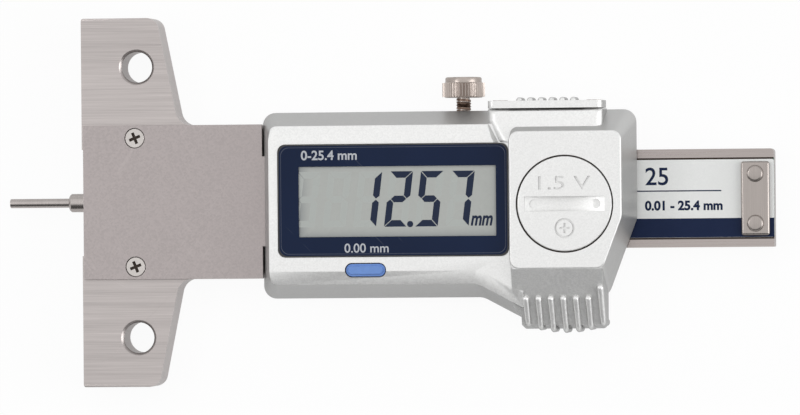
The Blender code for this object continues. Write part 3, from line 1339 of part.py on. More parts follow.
def make_port():
    low = SOCKET_LOW_Y
    high = BOSS_TOP_Y - SEAT_GAP
    low_z = BOARD_TOP_Z + SEAT_GAP + SOCKET_PLAY
    socket = box("output_socket", (SOCKET_LEFT_X, low, low_z), (SOCKET_RIGHT_X, high, SOCKET_HIGH_Z))
    rim = SOCKET_RIM
    mouth_low = (SOCKET_LEFT_X + rim, high - SOCKET_RECESS, low_z + rim)
    cut(socket, box("socket_mouth", mouth_low, (SOCKET_RIGHT_X - rim, high + OVERRUN, SOCKET_HIGH_Z - rim)))
    link_part(socket, "black_plastic", ROOT)
    seat = BOSS_TOP_Y + SEAT_GAP
    top = seat + PORT_COVER_THICK
    corners = [
        (BOSS_LEFT_X, PORT_COVER_LOW_Z),
        (BOSS_RIGHT_X, PORT_COVER_LOW_Z),
        (BOSS_RIGHT_X, BOSS_TOP_Z),
        (BOSS_LEFT_X, BOSS_TOP_Z),
    ]
    cover = plate("port_cover", [rounded(corners, [PORT_COVER_R] * 4)], -top, -seat, "XZ")
    for index in range(PORT_RIB_COUNT):
        middle = PORT_RIB_FIRST_X + index * PORT_RIB_PITCH
        half = PORT_RIB_WIDTH / 2
        outline = [
            (middle - half, top - PORT_RIB_RISE),
            (middle + half, top - PORT_RIB_RISE),
            (middle + half, top),
            (middle + half / 2, top + PORT_RIB_RISE),
            (middle - half / 2, top + PORT_RIB_RISE),
            (middle - half, top),
        ]
        join(cover, plate(f"port_rib_{index}", [outline], PORT_RIB_LOW_Z, PORT_RIB_HIGH_Z))
    outer_play = SOCKET_RIM + GASKET_WIDTH
    gasket_outer = port_ring(outer_play)
    gasket_inner = port_ring(SOCKET_RIM)
    groove_outlines = [port_ring(outer_play + SEAT_GAP), port_ring(SOCKET_RIM - SEAT_GAP)]
    groove = plate("gasket_groove", groove_outlines, -seat - GASKET_THICK, OVERRUN - seat, "XZ")
    cut(cover, groove)
    gasket_low = BOSS_TOP_Y + SEAT_GAP / 2
    gasket_high = seat + GASKET_THICK - SEAT_GAP
    gasket = plate("port_gasket", [gasket_outer, gasket_inner], -gasket_high, -gasket_low, "XZ")
    link_part(gasket, "black_rubber", ROOT)
    names = {"port_screw_left": PORT_SCREW_LEFT_X, "port_screw_right": PORT_SCREW_RIGHT_X}
    for name, x in names.items():
        place = (x, top - HEAD_SINK, PORT_SCREW_Z)
        size = (PORT_HEAD_R, PORT_HEAD_HEIGHT, PORT_SHANK_R, PORT_SCREW_LENGTH)
        cut(cover, screw_hole(name + "_hole", *size, place, "Y"))
        countersunk_screw(name, *size, place, "Y", ROOT)
    link_part(cover, "silver_paint", ROOT)


def port_ring(margin):
    low_z = CAVITY_FLOOR_Z
    corners = [
        (SOCKET_LEFT_X - margin, low_z - margin),
        (SOCKET_RIGHT_X + margin, low_z - margin),
        (SOCKET_RIGHT_X + margin, SOCKET_HIGH_Z + margin),
        (SOCKET_LEFT_X - margin, SOCKET_HIGH_Z + margin),
    ]
    return corners


clear_scene()
PARTS = make_collection("depth_gauge")
CUTTERS = make_collection("cutters")
MATERIALS = {name: make_finish(name) for name in FINISHES}
ROOT = make_empty("gauge_origin", (-REST_X, 0, 0))
BEAM_GROUP = make_empty("beam_axis", (0, 0, PROBE_Z), ROOT)
SHOE_GROUP = make_empty("shoe_axis", (CLAMP_X, 0, CLAMP_Z), ROOT)
CLAMP_GROUP = make_empty("clamp_axis", (0, 0, 0), SHOE_GROUP)
BUTTON_GROUP = make_empty("button_axis", (BUTTON_X, BUTTON_Y, 0), ROOT)
SEAL_GROUP = make_empty("cap_seal_axis", (CAP_X, CAP_Y, 0), ROOT)
CAP_GROUP = make_empty("cap_axis", (0, 0, 0), SEAL_GROUP)

make_base()
make_cover_plate()
make_back_plate()
make_slider_frame()
make_gib()
make_wiper()
make_beam()
make_scale()
make_stop()
make_probe()
make_clamp()
make_housing()
make_seal()
make_window()
make_display()
make_boards()
make_button()
make_battery()
make_cap()
make_port()
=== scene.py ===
import math

import bmesh
import bpy
from mathutils import Matrix, Vector


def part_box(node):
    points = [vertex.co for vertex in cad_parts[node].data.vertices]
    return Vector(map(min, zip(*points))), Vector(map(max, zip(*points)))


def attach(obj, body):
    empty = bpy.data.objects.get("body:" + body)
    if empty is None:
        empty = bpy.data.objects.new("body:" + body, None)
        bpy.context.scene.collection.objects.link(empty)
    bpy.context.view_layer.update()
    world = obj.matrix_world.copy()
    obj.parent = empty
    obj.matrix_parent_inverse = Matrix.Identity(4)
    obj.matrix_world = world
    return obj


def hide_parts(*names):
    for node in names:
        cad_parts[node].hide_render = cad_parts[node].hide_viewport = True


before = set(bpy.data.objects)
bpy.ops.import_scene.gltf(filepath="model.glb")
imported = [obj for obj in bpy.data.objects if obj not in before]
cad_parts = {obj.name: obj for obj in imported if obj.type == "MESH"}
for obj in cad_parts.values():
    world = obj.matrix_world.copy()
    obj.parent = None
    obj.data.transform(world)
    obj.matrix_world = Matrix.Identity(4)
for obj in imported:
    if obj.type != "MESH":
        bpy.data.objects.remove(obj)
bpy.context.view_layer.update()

MM = 0.001
DEG = math.pi / 180

# Places are measured from the measuring face, which lies at this X of the frame
FACE_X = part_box("base_block")[0].x
SHIFT = Vector((FACE_X, 0, 0))

# Resolution of round shapes and limits of sharp edges
CORNER_STEPS = 10
ROUND_SIDES = 48
RING_SIDES = 128
SHARP_ANGLE = 32 * DEG
WELD = 0.001 * MM
OVERRUN = 1.0 * MM
HAIR = 0.02 * MM

# Base, cover plate and screws
WING_CORNER_R = 2.0 * MM
WING_TIP_R = 0.4 * MM
FLANK_FILLET_R = 2.5 * MM
SHOULDER_X = 12.45 * MM
FLANK_FOOT_X = 15.96 * MM
STEM_WIDTH = 25.0 * MM
STEM_CORNER_R = 0.3 * MM
RELIEF_HALF_WIDTH = 8.65 * MM
RELIEF_DEPTH = 0.5 * MM
WING_HOLE_X = 9.17 * MM
WING_HOLE_Y = 22.0 * MM
WING_HOLE_R = 2.5 * MM
WING_HOLE_CHAMFER = 0.4 * MM
FRONT_WALL = 6.4 * MM
BACK_LEFT_X = 4.1 * MM
BACK_HALF_WIDTH = 11.8 * MM
TONGUE_HALF_WIDTH = 7.3 * MM
COVER_RIGHT_X = 29.85 * MM
EDGE_SOFTNESS = 0.12 * MM
THIN_SOFTNESS = 0.06 * MM
SCREW_CROSS_DEPTH = 0.9 * MM
SCREW_CROSS_TURN = 22
CROSS_SPAN_SHARE = 0.62
CROSS_ARM_SHARE = 0.16
SCREW_SHADE_Z = -0.3 * MM
SCREW_RIM = 0.1 * MM
SEAT_GAP = 0.1 * MM

# Beam, label and stop
BEAM_CHAMFER = 0.25 * MM
BEAM_CORNER_R = 0.6 * MM
BEAM_LOW_CORNER_R = 0.2 * MM
BEAM_TOP_Y = 7.82 * MM
BEAM_LOW_Y = -8.0 * MM
LABEL_TOP_Y = 6.12 * MM
LABEL_LOW_Y = -6.42 * MM
GROOVE_WIDTH = 0.2 * MM
GROOVE_DEPTH = 0.12 * MM
LABEL_FLOOR = 0.6 * MM
LABEL_CORNER_R = 0.3 * MM
RULE_Y = 1.1 * MM
RULE_WIDTH = 0.2 * MM
RULE_END_X = 104.2 * MM
STRIPE_LOW_Y = -6.4 * MM
STRIPE_HIGH_Y = -3.33 * MM
LARGE_FIGURE_Y = 3.5 * MM
LARGE_FIGURE_HEIGHT = 2.8 * MM
SMALL_FIGURE_Y = -1.2 * MM
SMALL_FIGURE_HEIGHT = 1.5 * MM
STOP_BEVEL = 0.42 * MM
STOP_DROP = 0.2 * MM
RIVET_HEAD_R = 1.35 * MM
RIVET_FLAT_R = 0.95 * MM
RIVET_SHANK_R = 0.7 * MM

# Probe and clamp screw
PIN_R = 0.75 * MM
PIN_TIP_R = 0.15 * MM
ROD_TANG_R = 1.0 * MM
ROD_R = 1.5 * MM
PIN_LENGTH = 9.9 * MM
ROD_CHAMFER = 0.35 * MM
CLAMP_X = 62.4 * MM
CLAMP_Z = 3.6 * MM
CLAMP_KNURL_R = 3.45 * MM
CLAMP_KNURL_LOW_Y = 16.52 * MM
CLAMP_KNURL_HIGH_Y = 19.03 * MM
CLAMP_CROWN_R = 2.95 * MM
CLAMP_EDGE = 0.25 * MM
CLAMP_THREAD_R = 1.0 * MM
THREAD_CREST_R = 1.24 * MM
THREAD_PITCH = 0.45 * MM
THREAD_TOP_Y = 16.4 * MM
THREAD_LOW_Y = 10.6 * MM
KNURL_TEETH = 44
KNURL_DEPTH = 0.22 * MM

# Housing: rim, display part and flare
RIM_Z = 5.3 * MM
HOUSING_LEFT_X = 29.7 * MM
HOUSING_RIGHT_X = 90.65 * MM
HOUSING_TOP_Y = 14.35 * MM
HOUSING_BOTTOM_Y = -15.8 * MM
SLANT_TOP_Y = -3.2 * MM
SLANT_BOTTOM_X = 85.9 * MM
OUTER_CORNER_R = 2.1 * MM
SLANT_CORNER_R = 3.0 * MM
EDGE_Z = 12.9 * MM
FACE_Z = 13.6 * MM
SIDE_DRAFT = 2.0 * MM
LONG_DRAFT = 2.28 * MM
FACET_WIDTH = 2.16 * MM
LEFT_EASE = 0.15 * MM
FLARE_X = 65.6 * MM
FLARE_R = 3.0 * MM
FLARE_FALL_SHARE = 0.531
DISPLAY_END_X = 73.0 * MM
FACE_CORNER_R = 1.4 * MM

# Housing: block over the battery, thumb grip and boss of the port
BLOCK_LEFT_X = 71.0 * MM
BLOCK_Z = 15.2 * MM
BLOCK_TOP_Y = 10.93 * MM
BLOCK_BOTTOM_Y = -11.24 * MM
BLOCK_RIGHT_EASE = 1.5 * MM
BLOCK_CORNER_R = 1.5 * MM
BLOCK_EDGE = 0.3 * MM
GRIP_LEFT_X = 71.2 * MM
GRIP_FOOT_LEFT_X = 72.45 * MM
GRIP_CUT_TOP_Y = -17.2 * MM
GRIP_CUT_FOOT_Y = -18.6 * MM
GRIP_BOTTOM_Y = -20.95 * MM
GRIP_KNEE_Z = 10.9 * MM
GRIP_DRAFT = 0.7 * MM
GRIP_CORNER_R = 1.2 * MM
RIB_COUNT = 7
RIB_FIRST_X = 73.3 * MM
RIB_PITCH = 2.02 * MM
RIB_TOP_WIDTH = 1.2 * MM
RIB_WIDTH = 0.95 * MM
RIB_RISE = 0.62 * MM
RIB_SHIFT = 0.2 * MM
RIB_SIDES = 16
RIB_TURN_R = 1.0 * MM
RIB_END_STEPS = 5
RIB_KNEE_STEPS = 4
RIB_START_Y = -15.45 * MM
LAST_RIB_LEAD = 1.7 * MM
GRIP_SOFTNESS = 0.3 * MM
RIB_ARC_DROP = 1.0 * MM
BOSS_TOP_Y = 14.5 * MM
BOSS_FOOT_Y = 9.9 * MM
BOSS_WEB_Y = 9.2 * MM
BOSS_SLANT_Y = 12.4 * MM
BOSS_FOOT_SLANT = 1.7 * MM
BOSS_SHOULDER_Z = 12.0 * MM
BOSS_TOP_Z = 12.75 * MM
BOSS_FOOT_Z = 13.15 * MM
STEP_WIDTH = 0.6 * MM
STEP_FLOOR_Z = 12.6 * MM
BOSS_SIDE_EASE = 1.5 * MM
BOSS_CORNER_R = 0.8 * MM
PORT_COVER_R = 1.0 * MM
PORT_EDGE = 0.45 * MM
PORT_LID_DROP = 0.15 * MM
PORT_RIB_COUNT = 6
PORT_RIB_FIRST_X = 72.4 * MM
PORT_RIB_PITCH = 1.74 * MM
PORT_RIB_R = 0.5 * MM
PORT_RIB_RISE = 0.4 * MM
PORT_RIB_LOW_Z = 6.9 * MM
PORT_RIB_HIGH_Z = 12.0 * MM
PORT_SCREW_Z = 9.4 * MM
PORT_SCREW_INSET = 2.0 * MM

# Window, display and set button
WINDOW_R = 1.3 * MM
VIEW_LEFT_X = 36.75 * MM
VIEW_RIGHT_X = 68.75 * MM
VIEW_LOW_Y = -5.85 * MM
VIEW_HIGH_Y = 5.5 * MM
VIEW_R = 0.15 * MM
LCD_SINK = 0.3 * MM
RIM_LINE = 0.2 * MM
INNER_LINE_INSET = 0.45 * MM
INNER_LINE = 0.07 * MM
DIGIT_HEIGHT = 8.9 * MM
DIGIT_WIDTH = 3.7 * MM
DIGIT_PITCH = 5.0 * MM
DIGIT_SLANT = 7 * DEG
DIGIT_FOOT_Y = -4.25 * MM
SEGMENT = 1.05 * MM
SEGMENT_GAP = 0.09 * MM
POINT_R = 0.5 * MM
DIGITS_LEFT_X = 45.55 * MM
UNIT_HEIGHT = 1.55 * MM
UNIT_X = 64.55 * MM
UNIT_SQUEEZE = 0.72
PRINT_X = 37.15 * MM
PRINT_Y = 6.6 * MM
PRINT_HEIGHT = 1.5 * MM
ZERO_X = 44.1 * MM
ZERO_Y = -8.35 * MM
ZERO_HEIGHT = 1.45 * MM
BUTTON_X = 47.5 * MM
BUTTON_Y = -11.2 * MM
BUTTON_LENGTH = 6.4 * MM
BUTTON_WIDTH = 2.05 * MM
BUTTON_RIM = 0.32 * MM
BUTTON_PLAY = 0.15 * MM
BUTTON_NECK_Z = 11.4 * MM

# Battery cap
CAP_X = 79.95 * MM
CAP_Y = -0.8 * MM
CAP_R = 7.62 * MM
CAP_SEAT_Z = 14.2 * MM
CAP_NECK_R = 6.85 * MM
CAP_NECK_Z = 12.0 * MM
CAP_HOLLOW_R = 6.1 * MM
CAP_HOLLOW_Z = 13.05 * MM
CAP_EDGE = 0.18 * MM
CAP_BORE_R = 7.85 * MM
CAP_STEP_Z = 13.3 * MM
CAP_SHADE_DEPTH = 0.5 * MM
THREAD_BORE_R = 7.0 * MM
WELL_FLOOR_Z = 11.6 * MM
SLOT_LENGTH = 12.9 * MM
SLOT_WIDTH = 2.4 * MM
SLOT_DEPTH = 1.4 * MM
SLOT_END_DEPTH = 0.35 * MM
SLOT_STEPS = 32
DIMPLE_DEPTH = 0.12 * MM
CAP_RELIEF = 0.35 * MM
CAP_FIGURE_WIDTH = 8.4 * MM
CAP_FIGURE_HEIGHT = 2.1 * MM
CAP_FIGURE_FOOT = 2.3 * MM
CAP_MARK_R = 1.6 * MM
CAP_MARK_DROP = 3.9 * MM
CAP_LINE = 0.32 * MM
DIMPLE_R = 0.72 * MM
DIMPLE_REACH = 5.0 * MM

# Camera: the photograph's view, 7.8 degrees round from straight above, rolled half a degree
CAMERA_PLACE = Vector((0.14494, -0.00118, 1.04831))
VIEW_TURN = 7.8 * DEG
VIEW_ROLL = 0.5 * DEG
LENS = 292.5

# Light: lamps by place, size and power, and the room's glow overhead, past the foot and low down
LAMPS = {
    "key_lamp": ((0.1, 0.5, 1.5), 2.4, 4.2),
    "side_lamp": ((-0.9, 0.1, 1.2), 0.5, 2.4),
    "fill_lamp": ((1.0, -0.1, 0.5), 0.8, 5.0),
}
HEAD_GLOW = 0.86
MIRRORED_SHARE = 0.55
SIDE_GLOW = 0.55
FOOT_GLOW = 0.12
RIM_GLOW = 0.4


def place_of(node):
    """A CAD node's lowest and highest corners, measured from the measuring face."""
    low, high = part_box(node)
    return low - SHIFT, high - SHIFT


# Shader node helpers


def add(tree, kind, inputs=None, **settings):
    """A node with its settings, its inputs set or linked."""
    made = tree.nodes.new(kind)
    for name, value in settings.items():
        setattr(made, name, value)
    for name, value in (inputs or {}).items():
        socket = made.inputs[name]
        if isinstance(value, bpy.types.NodeSocket):
            tree.links.new(value, socket)
        else:
            socket.default_value = value
    return made


def maths(tree, operation, first, second):
    return add(tree, "ShaderNodeMath", {0: first, 1: second}, operation=operation).outputs[0]


def scaled(tree, value, share):
    return maths(tree, "MULTIPLY", value, share)


def spread(tree, value, low, high, to_low, to_high):
    inputs = {"Value": value, "From Min": low, "From Max": high, "To Min": to_low, "To Max": to_high}
    return add(tree, "ShaderNodeMapRange", inputs).outputs["Result"]


def blend_colours(tree, factor, first, second, kind="MIX"):
    made = add(tree, "ShaderNodeMix", data_type="RGBA", blend_type=kind)
    for index, value in ((0, factor), (6, first), (7, second)):
        if isinstance(value, bpy.types.NodeSocket):
            tree.links.new(value, made.inputs[index])
        elif index:
            made.inputs[index].default_value = (*value, 1.0)
        else:
            made.inputs[index].default_value = value
    return made.outputs[2]


def noise(tree, vector, scale, detail=2.0, roughness=0.5):
    inputs = {"Vector": vector, "Scale": scale, "Detail": detail, "Roughness": roughness}
    return add(tree, "ShaderNodeTexNoise", inputs).outputs["Fac"]


def new_group(name, inputs, outputs):
    """An empty shader node group, with its input and output sockets."""
    group = bpy.data.node_groups.new(name, "ShaderNodeTree")
    for label, kind, value in inputs:
        socket = group.interface.new_socket(label, in_out="INPUT", socket_type="NodeSocket" + kind)
        if value is not None:
            socket.default_value = value
    for label, kind in outputs:
        group.interface.new_socket(label, in_out="OUTPUT", socket_type="NodeSocket" + kind)
    source = group.nodes.new("NodeGroupInput").outputs
    sink = group.nodes.new("NodeGroupOutput").inputs
    return group, source, sink


def brushed_lines_group():
    """Fine lines left by a belt, long one way and close together across it."""
    inputs = [("Vector", "Vector", None), ("Stretch", "Vector", (60.0, 5000.0, 5000.0))]
    group, source, sink = new_group("brushed_lines", inputs, [("Lines", "Float"), ("Bands", "Float")])
    multiply = {0: source["Vector"], 1: source["Stretch"]}
    stretched = add(group, "ShaderNodeVectorMath", multiply, operation="MULTIPLY").outputs[0]
    group.links.new(noise(group, stretched, 1.0, 3.0, 0.65), sink["Lines"])
    group.links.new(noise(group, stretched, 0.16, 2.0, 0.5), sink["Bands"])
    return group


def speckle_group():
    """Metal flakes in paint, or the grain of a moulded or blasted surface."""
    inputs = [("Vector", "Vector", None), ("Fineness", "Float", 6000.0)]
    group, source, sink = new_group("flake_speckle", inputs, [("Flakes", "Float"), ("Clouds", "Float")])
    cells = {"Vector": source["Vector"], "Scale": source["Fineness"]}
    flakes = add(group, "ShaderNodeTexVoronoi", cells).outputs["Color"]
    grey = add(group, "ShaderNodeSeparateColor", {0: flakes}).outputs[0]
    fine = noise(group, source["Vector"], scaled(group, source["Fineness"], 0.5), 3.0, 0.6)
    mixed = maths(group, "ADD", scaled(group, grey, 0.5), scaled(group, fine, 0.5))
    group.links.new(mixed, sink["Flakes"])
    clouds = noise(group, source["Vector"], scaled(group, source["Fineness"], 0.04), 3.0, 0.55)
    group.links.new(clouds, sink["Clouds"])
    return group


def scratches_group():
    """Sparse thin scratches that run one way."""
    inputs = [
        ("Vector", "Vector", None),
        ("Turn", "Float", 0.3),
        ("Fineness", "Float", 2500.0),
        ("Share", "Float", 0.2),
    ]
    group, source, sink = new_group("hair_scratches", inputs, [("Mask", "Float")])
    turn = {"Vector": source["Vector"], "Angle": source["Turn"]}
    turned_vector = add(group, "ShaderNodeVectorRotate", turn, rotation_type="Z_AXIS").outputs[0]
    axes = add(
        group,
        "ShaderNodeCombineXYZ",
        {0: scaled(group, source["Fineness"], 0.03), 1: source["Fineness"], 2: 300.0},
    )
    multiply = {0: turned_vector, 1: axes.outputs[0]}
    stretched = add(group, "ShaderNodeVectorMath", multiply, operation="MULTIPLY").outputs[0]
    lines = noise(group, stretched, 1.0, 1.0, 0.5)
    limit = maths(group, "SUBTRACT", 0.78, scaled(group, source["Share"], 0.3))
    lines = spread(group, lines, limit, maths(group, "ADD", limit, 0.04), 0.0, 1.0)
    places = noise(group, source["Vector"], 220.0, 1.0, 0.5)
    places = spread(group, places, 0.45, 0.6, 0.0, 1.0)
    group.links.new(scaled(group, lines, places), sink["Mask"])
    return group


def edge_wear_group():
    """The edges of a shape, where hands polish it, broken up by noise."""
    inputs = [("Vector", "Vector", None), ("Reach", "Float", 0.00015), ("Amount", "Float", 0.5)]
    group, source, sink = new_group("edge_wear", inputs, [("Mask", "Float")])
    around = add(group, "ShaderNodeBevel", {"Radius": source["Reach"]}, samples=4).outputs[0]
    straight = add(group, "ShaderNodeNewGeometry").outputs["True Normal"]
    facing = add(
        group, "ShaderNodeVectorMath", {0: around, 1: straight}, operation="DOT_PRODUCT"
    ).outputs["Value"]
    edge = spread(group, facing, 0.97, 0.8, 0.0, 1.0)
    broken = spread(group, noise(group, source["Vector"], 900.0, 2.0), 0.3, 0.7, 0.4, 1.0)
    worn = scaled(group, scaled(group, edge, broken), source["Amount"])
    group.links.new(worn, sink["Mask"])
    return group


BRUSHED = brushed_lines_group()
SPECKLE = speckle_group()
SCRATCHES = scratches_group()
EDGE_WEAR = edge_wear_group()


def use_group(tree, group, inputs):
    made = tree.nodes.new("ShaderNodeGroup")
    made.node_tree = group
    for name, value in inputs.items():
        if isinstance(value, bpy.types.NodeSocket):
            tree.links.new(value, made.inputs[name])
        else:
            made.inputs[name].default_value = value
    return made.outputs


def new_material(name):
    material = bpy.data.materials.new(name)
    material.use_nodes = True
    tree = material.node_tree
    shader = tree.nodes["Principled BSDF"]
    place = tree.nodes.new("ShaderNodeTexCoord").outputs["Object"]
    return material, tree, shader, place


def set_bump(tree, shader, height, distance):
    bump = add(tree, "ShaderNodeBump", {"Height": height, "Strength": 1.0, "Distance": distance})
    tree.links.new(bump.outputs["Normal"], shader.inputs["Normal"])


def darker(colour, share):
    return tuple(part * share for part in colour)


def brushed_metal(
    name,
    colour,
    roughness,
    stretch,
    bump=0.0000012,
    contrast=0.1,
    wear=0.5,
    scratches=0.2,
):
    """Metal with lines along one axis, a few scratches and edges polished by use."""
    material, tree, shader, place = new_material(name)
    lines = use_group(tree, BRUSHED, {"Vector": place, "Stretch": stretch})
    marks = use_group(tree, SCRATCHES, {"Vector": place, "Turn": 0.5, "Share": scratches})["Mask"]
    worn = use_group(tree, EDGE_WEAR, {"Vector": place, "Amount": wear})["Mask"]
    both = maths(tree, "ADD", scaled(tree, lines["Lines"], 0.65), scaled(tree, lines["Bands"], 0.35))
    toned = spread(tree, both, 0.3, 0.7, 0.0, 1.0)
    base = blend_colours(tree, toned, darker(colour, 1 - contrast), darker(colour, 1 + contrast))
    light = darker(colour, 1.35)
    base = blend_colours(tree, scaled(tree, marks, 0.35), base, light)
    base = blend_colours(tree, worn, base, light)
    tree.links.new(base, shader.inputs["Base Color"])
    rough = spread(tree, both, 0.3, 0.7, roughness - 0.07, roughness + 0.07)
    tree.links.new(
        maths(tree, "SUBTRACT", rough, scaled(tree, marks, 0.08)), shader.inputs["Roughness"]
    )
    shader.inputs["Metallic"].default_value = 1.0
    set_bump(tree, shader, both, bump)
    return material


def blasted_metal(name, colour, roughness, fineness, scratches=0.5):
    """Metal with a matt, slightly mottled surface and faint scratches."""
    material, tree, shader, place = new_material(name)
    grain = use_group(tree, SPECKLE, {"Vector": place, "Fineness": fineness})
    marks = use_group(tree, SCRATCHES, {"Vector": place, "Turn": 2.2, "Share": scratches})["Mask"]
    others = use_group(
        tree, SCRATCHES, {"Vector": place, "Turn": 0.9, "Share": scratches, "Fineness": 1800.0}
    )["Mask"]
    marks = maths(tree, "MAXIMUM", marks, others)
    worn = use_group(tree, EDGE_WEAR, {"Vector": place, "Amount": 0.6})["Mask"]
    tone = maths(tree, "ADD", scaled(tree, grain["Flakes"], 0.75), scaled(tree, grain["Clouds"], 0.25))
    base = blend_colours(
        tree, spread(tree, tone, 0.35, 0.65, 0.0, 1.0), darker(colour, 0.9), darker(colour, 1.1)
    )
    base = blend_colours(tree, scaled(tree, marks, 0.14), base, darker(colour, 1.4))
    base = blend_colours(tree, worn, base, darker(colour, 1.4))
    tree.links.new(base, shader.inputs["Base Color"])
    tree.links.new(
        spread(tree, tone, 0.35, 0.65, roughness - 0.06, roughness + 0.08), shader.inputs["Roughness"]
    )
    shader.inputs["Metallic"].default_value = 1.0
    set_bump(tree, shader, grain["Flakes"], 0.000002)
    return material


def flake_paint(name, colour, roughness, metallic, aslant_shade_share):
    """Silver paint with fine flakes, faint clouds and rubbed edges, darker when seen aslant: painted
    shade standing in for the paint's flop and the dimmer light on steep walls.
    """
    material, tree, shader, place = new_material(name)
    grain = use_group(tree, SPECKLE, {"Vector": place, "Fineness": 5200.0})
    worn = use_group(tree, EDGE_WEAR, {"Vector": place, "Amount": 0.35})["Mask"]
    base = blend_colours(
        tree,
        spread(tree, grain["Flakes"], 0.3, 0.7, 0.0, 1.0),
        darker(colour, 0.93),
        darker(colour, 1.03),
    )
    clouds = spread(tree, grain["Clouds"], 0.35, 0.65, 0.0, 0.35)
    base = blend_colours(tree, clouds, base, darker(colour, 0.96))
    # Painted shade: the colour darkens where the surface is seen aslant, as on the housing's walls.
    aslant = add(tree, "ShaderNodeLayerWeight", {"Blend": 0.5}).outputs["Facing"]
    aslant_shade = spread(tree, aslant, 0.25, 0.85, 0.0, 1.0)
    base = blend_colours(tree, scaled(tree, aslant_shade, aslant_shade_share), base, darker(colour, 0.45))
    base = blend_colours(tree, worn, base, darker(colour, 1.06))
    tree.links.new(base, shader.inputs["Base Color"])
    tree.links.new(
        spread(tree, grain["Flakes"], 0.3, 0.7, roughness - 0.06, roughness + 0.06),
        shader.inputs["Roughness"],
    )
    shader.inputs["Metallic"].default_value = metallic
    shader.inputs["Specular IOR Level"].default_value = 0.35
    set_bump(tree, shader, grain["Flakes"], 0.0000015)
    return material


def moulded(
    name,
    colour,
    roughness,
    fineness=3000.0,
    bump=0.000003,
    contrast=0.12,
    coat=0.0,
    gloss=0.5,
):
    """Plastic, rubber or print: a colour with fine grain, faint clouds and worn edges."""
    material, tree, shader, place = new_material(name)
    grain = use_group(tree, SPECKLE, {"Vector": place, "Fineness": fineness})
    worn = use_group(tree, EDGE_WEAR, {"Vector": place, "Amount": 0.4})["Mask"]
    base = blend_colours(
        tree, grain["Flakes"], darker(colour, 1 - contrast), darker(colour, 1 + contrast)
    )
    base = blend_colours(
        tree,
        spread(tree, grain["Clouds"], 0.4, 0.7, 0.0, 0.4),
        base,
        darker(colour, 1 - 1.5 * contrast),
    )
    base = blend_colours(tree, worn, base, darker(colour, 1.3))
    tree.links.new(base, shader.inputs["Base Color"])
    tree.links.new(
        spread(tree, grain["Clouds"], 0.35, 0.65, roughness - 0.05, roughness + 0.07),
        shader.inputs["Roughness"],
    )
    shader.inputs["Coat Weight"].default_value = coat
    shader.inputs["Specular IOR Level"].default_value = gloss
    set_bump(tree, shader, grain["Flakes"], bump)
    return material


def glass_print(name, colour):
    """The window's dark print under clear glass, with a few fine scratches on top."""
    material, tree, shader, place = new_material(name)
    grain = use_group(tree, SPECKLE, {"Vector": place, "Fineness": 1500.0})
    marks = use_group(tree, SCRATCHES, {"Vector": place, "Turn": 0.8, "Share": 0.25})["Mask"]
    base = blend_colours(
        tree,
        spread(tree, grain["Clouds"], 0.3, 0.7, 0.0, 1.0),
        darker(colour, 0.9),
        darker(colour, 1.12),
    )
    base = blend_colours(tree, scaled(tree, marks, 0.25), base, (0.2, 0.22, 0.26))
    tree.links.new(base, shader.inputs["Base Color"])
    tree.links.new(spread(tree, grain["Clouds"], 0.3, 0.7, 0.1, 0.18), shader.inputs["Roughness"])
    shader.inputs["Specular IOR Level"].default_value = 0.12
    return material


def lcd_field(name, colour, left, right, low, high):
    """The display's field: faint grain, darker towards its four edges with painted shade of the
    window's frame.
    """
    material, tree, shader, place = new_material(name)
    grain = use_group(tree, SPECKLE, {"Vector": place, "Fineness": 2200.0})
    parts = add(tree, "ShaderNodeSeparateXYZ", {0: place}).outputs
    # Painted shade of the window's frame: the field darkens towards each edge, blended to a dark grey
    # below.
    from_left = spread(tree, parts[0], left, left + 2.2 * MM, 1.0, 0.0)
    from_right = spread(tree, parts[0], right - 1.0 * MM, right, 0.0, 0.5)
    from_foot = spread(tree, parts[1], low, low + 1.6 * MM, 0.9, 0.0)
    from_head = spread(tree, parts[1], high - 0.7 * MM, high, 0.0, 0.5)
    shade = maths(
        tree,
        "MAXIMUM",
        maths(tree, "MAXIMUM", from_left, from_foot),
        maths(tree, "MAXIMUM", from_head, from_right),
    )
    shade = maths(tree, "POWER", shade, 1.6)
    base = blend_colours(tree, grain["Flakes"], darker(colour, 0.975), darker(colour, 1.025))
    base = blend_colours(tree, scaled(tree, shade, 0.55), base, (0.16, 0.18, 0.2))
    tree.links.new(base, shader.inputs["Base Color"])
    tree.links.new(spread(tree, grain["Clouds"], 0.3, 0.7, 0.22, 0.32), shader.inputs["Roughness"])
    shader.inputs["Specular IOR Level"].default_value = 0.3
    return material


def circuit(name, colour):
    """A circuit board: solder mask with tracks showing through as lighter lines."""
    material, tree, shader, place = new_material(name)
    grain = use_group(tree, SPECKLE, {"Vector": place, "Fineness": 2500.0})
    cells = {"Vector": place, "Scale": 700.0, "Randomness": 0.0}
    near = add(tree, "ShaderNodeTexVoronoi", cells, distance="CHEBYCHEV").outputs["Distance"]
    tracks = spread(tree, near, 0.36, 0.4, 0.0, 0.5)
    base = blend_colours(tree, tracks, darker(colour, 0.9), darker(colour, 2.0))
    base = blend_colours(
        tree, spread(tree, grain["Flakes"], 0.3, 0.7, 0.0, 0.25), base, darker(colour, 0.6)
    )
    tree.links.new(base, shader.inputs["Base Color"])
    tree.links.new(spread(tree, grain["Clouds"], 0.3, 0.7, 0.3, 0.45), shader.inputs["Roughness"])
    set_bump(tree, shader, tracks, 0.00001)
    return material


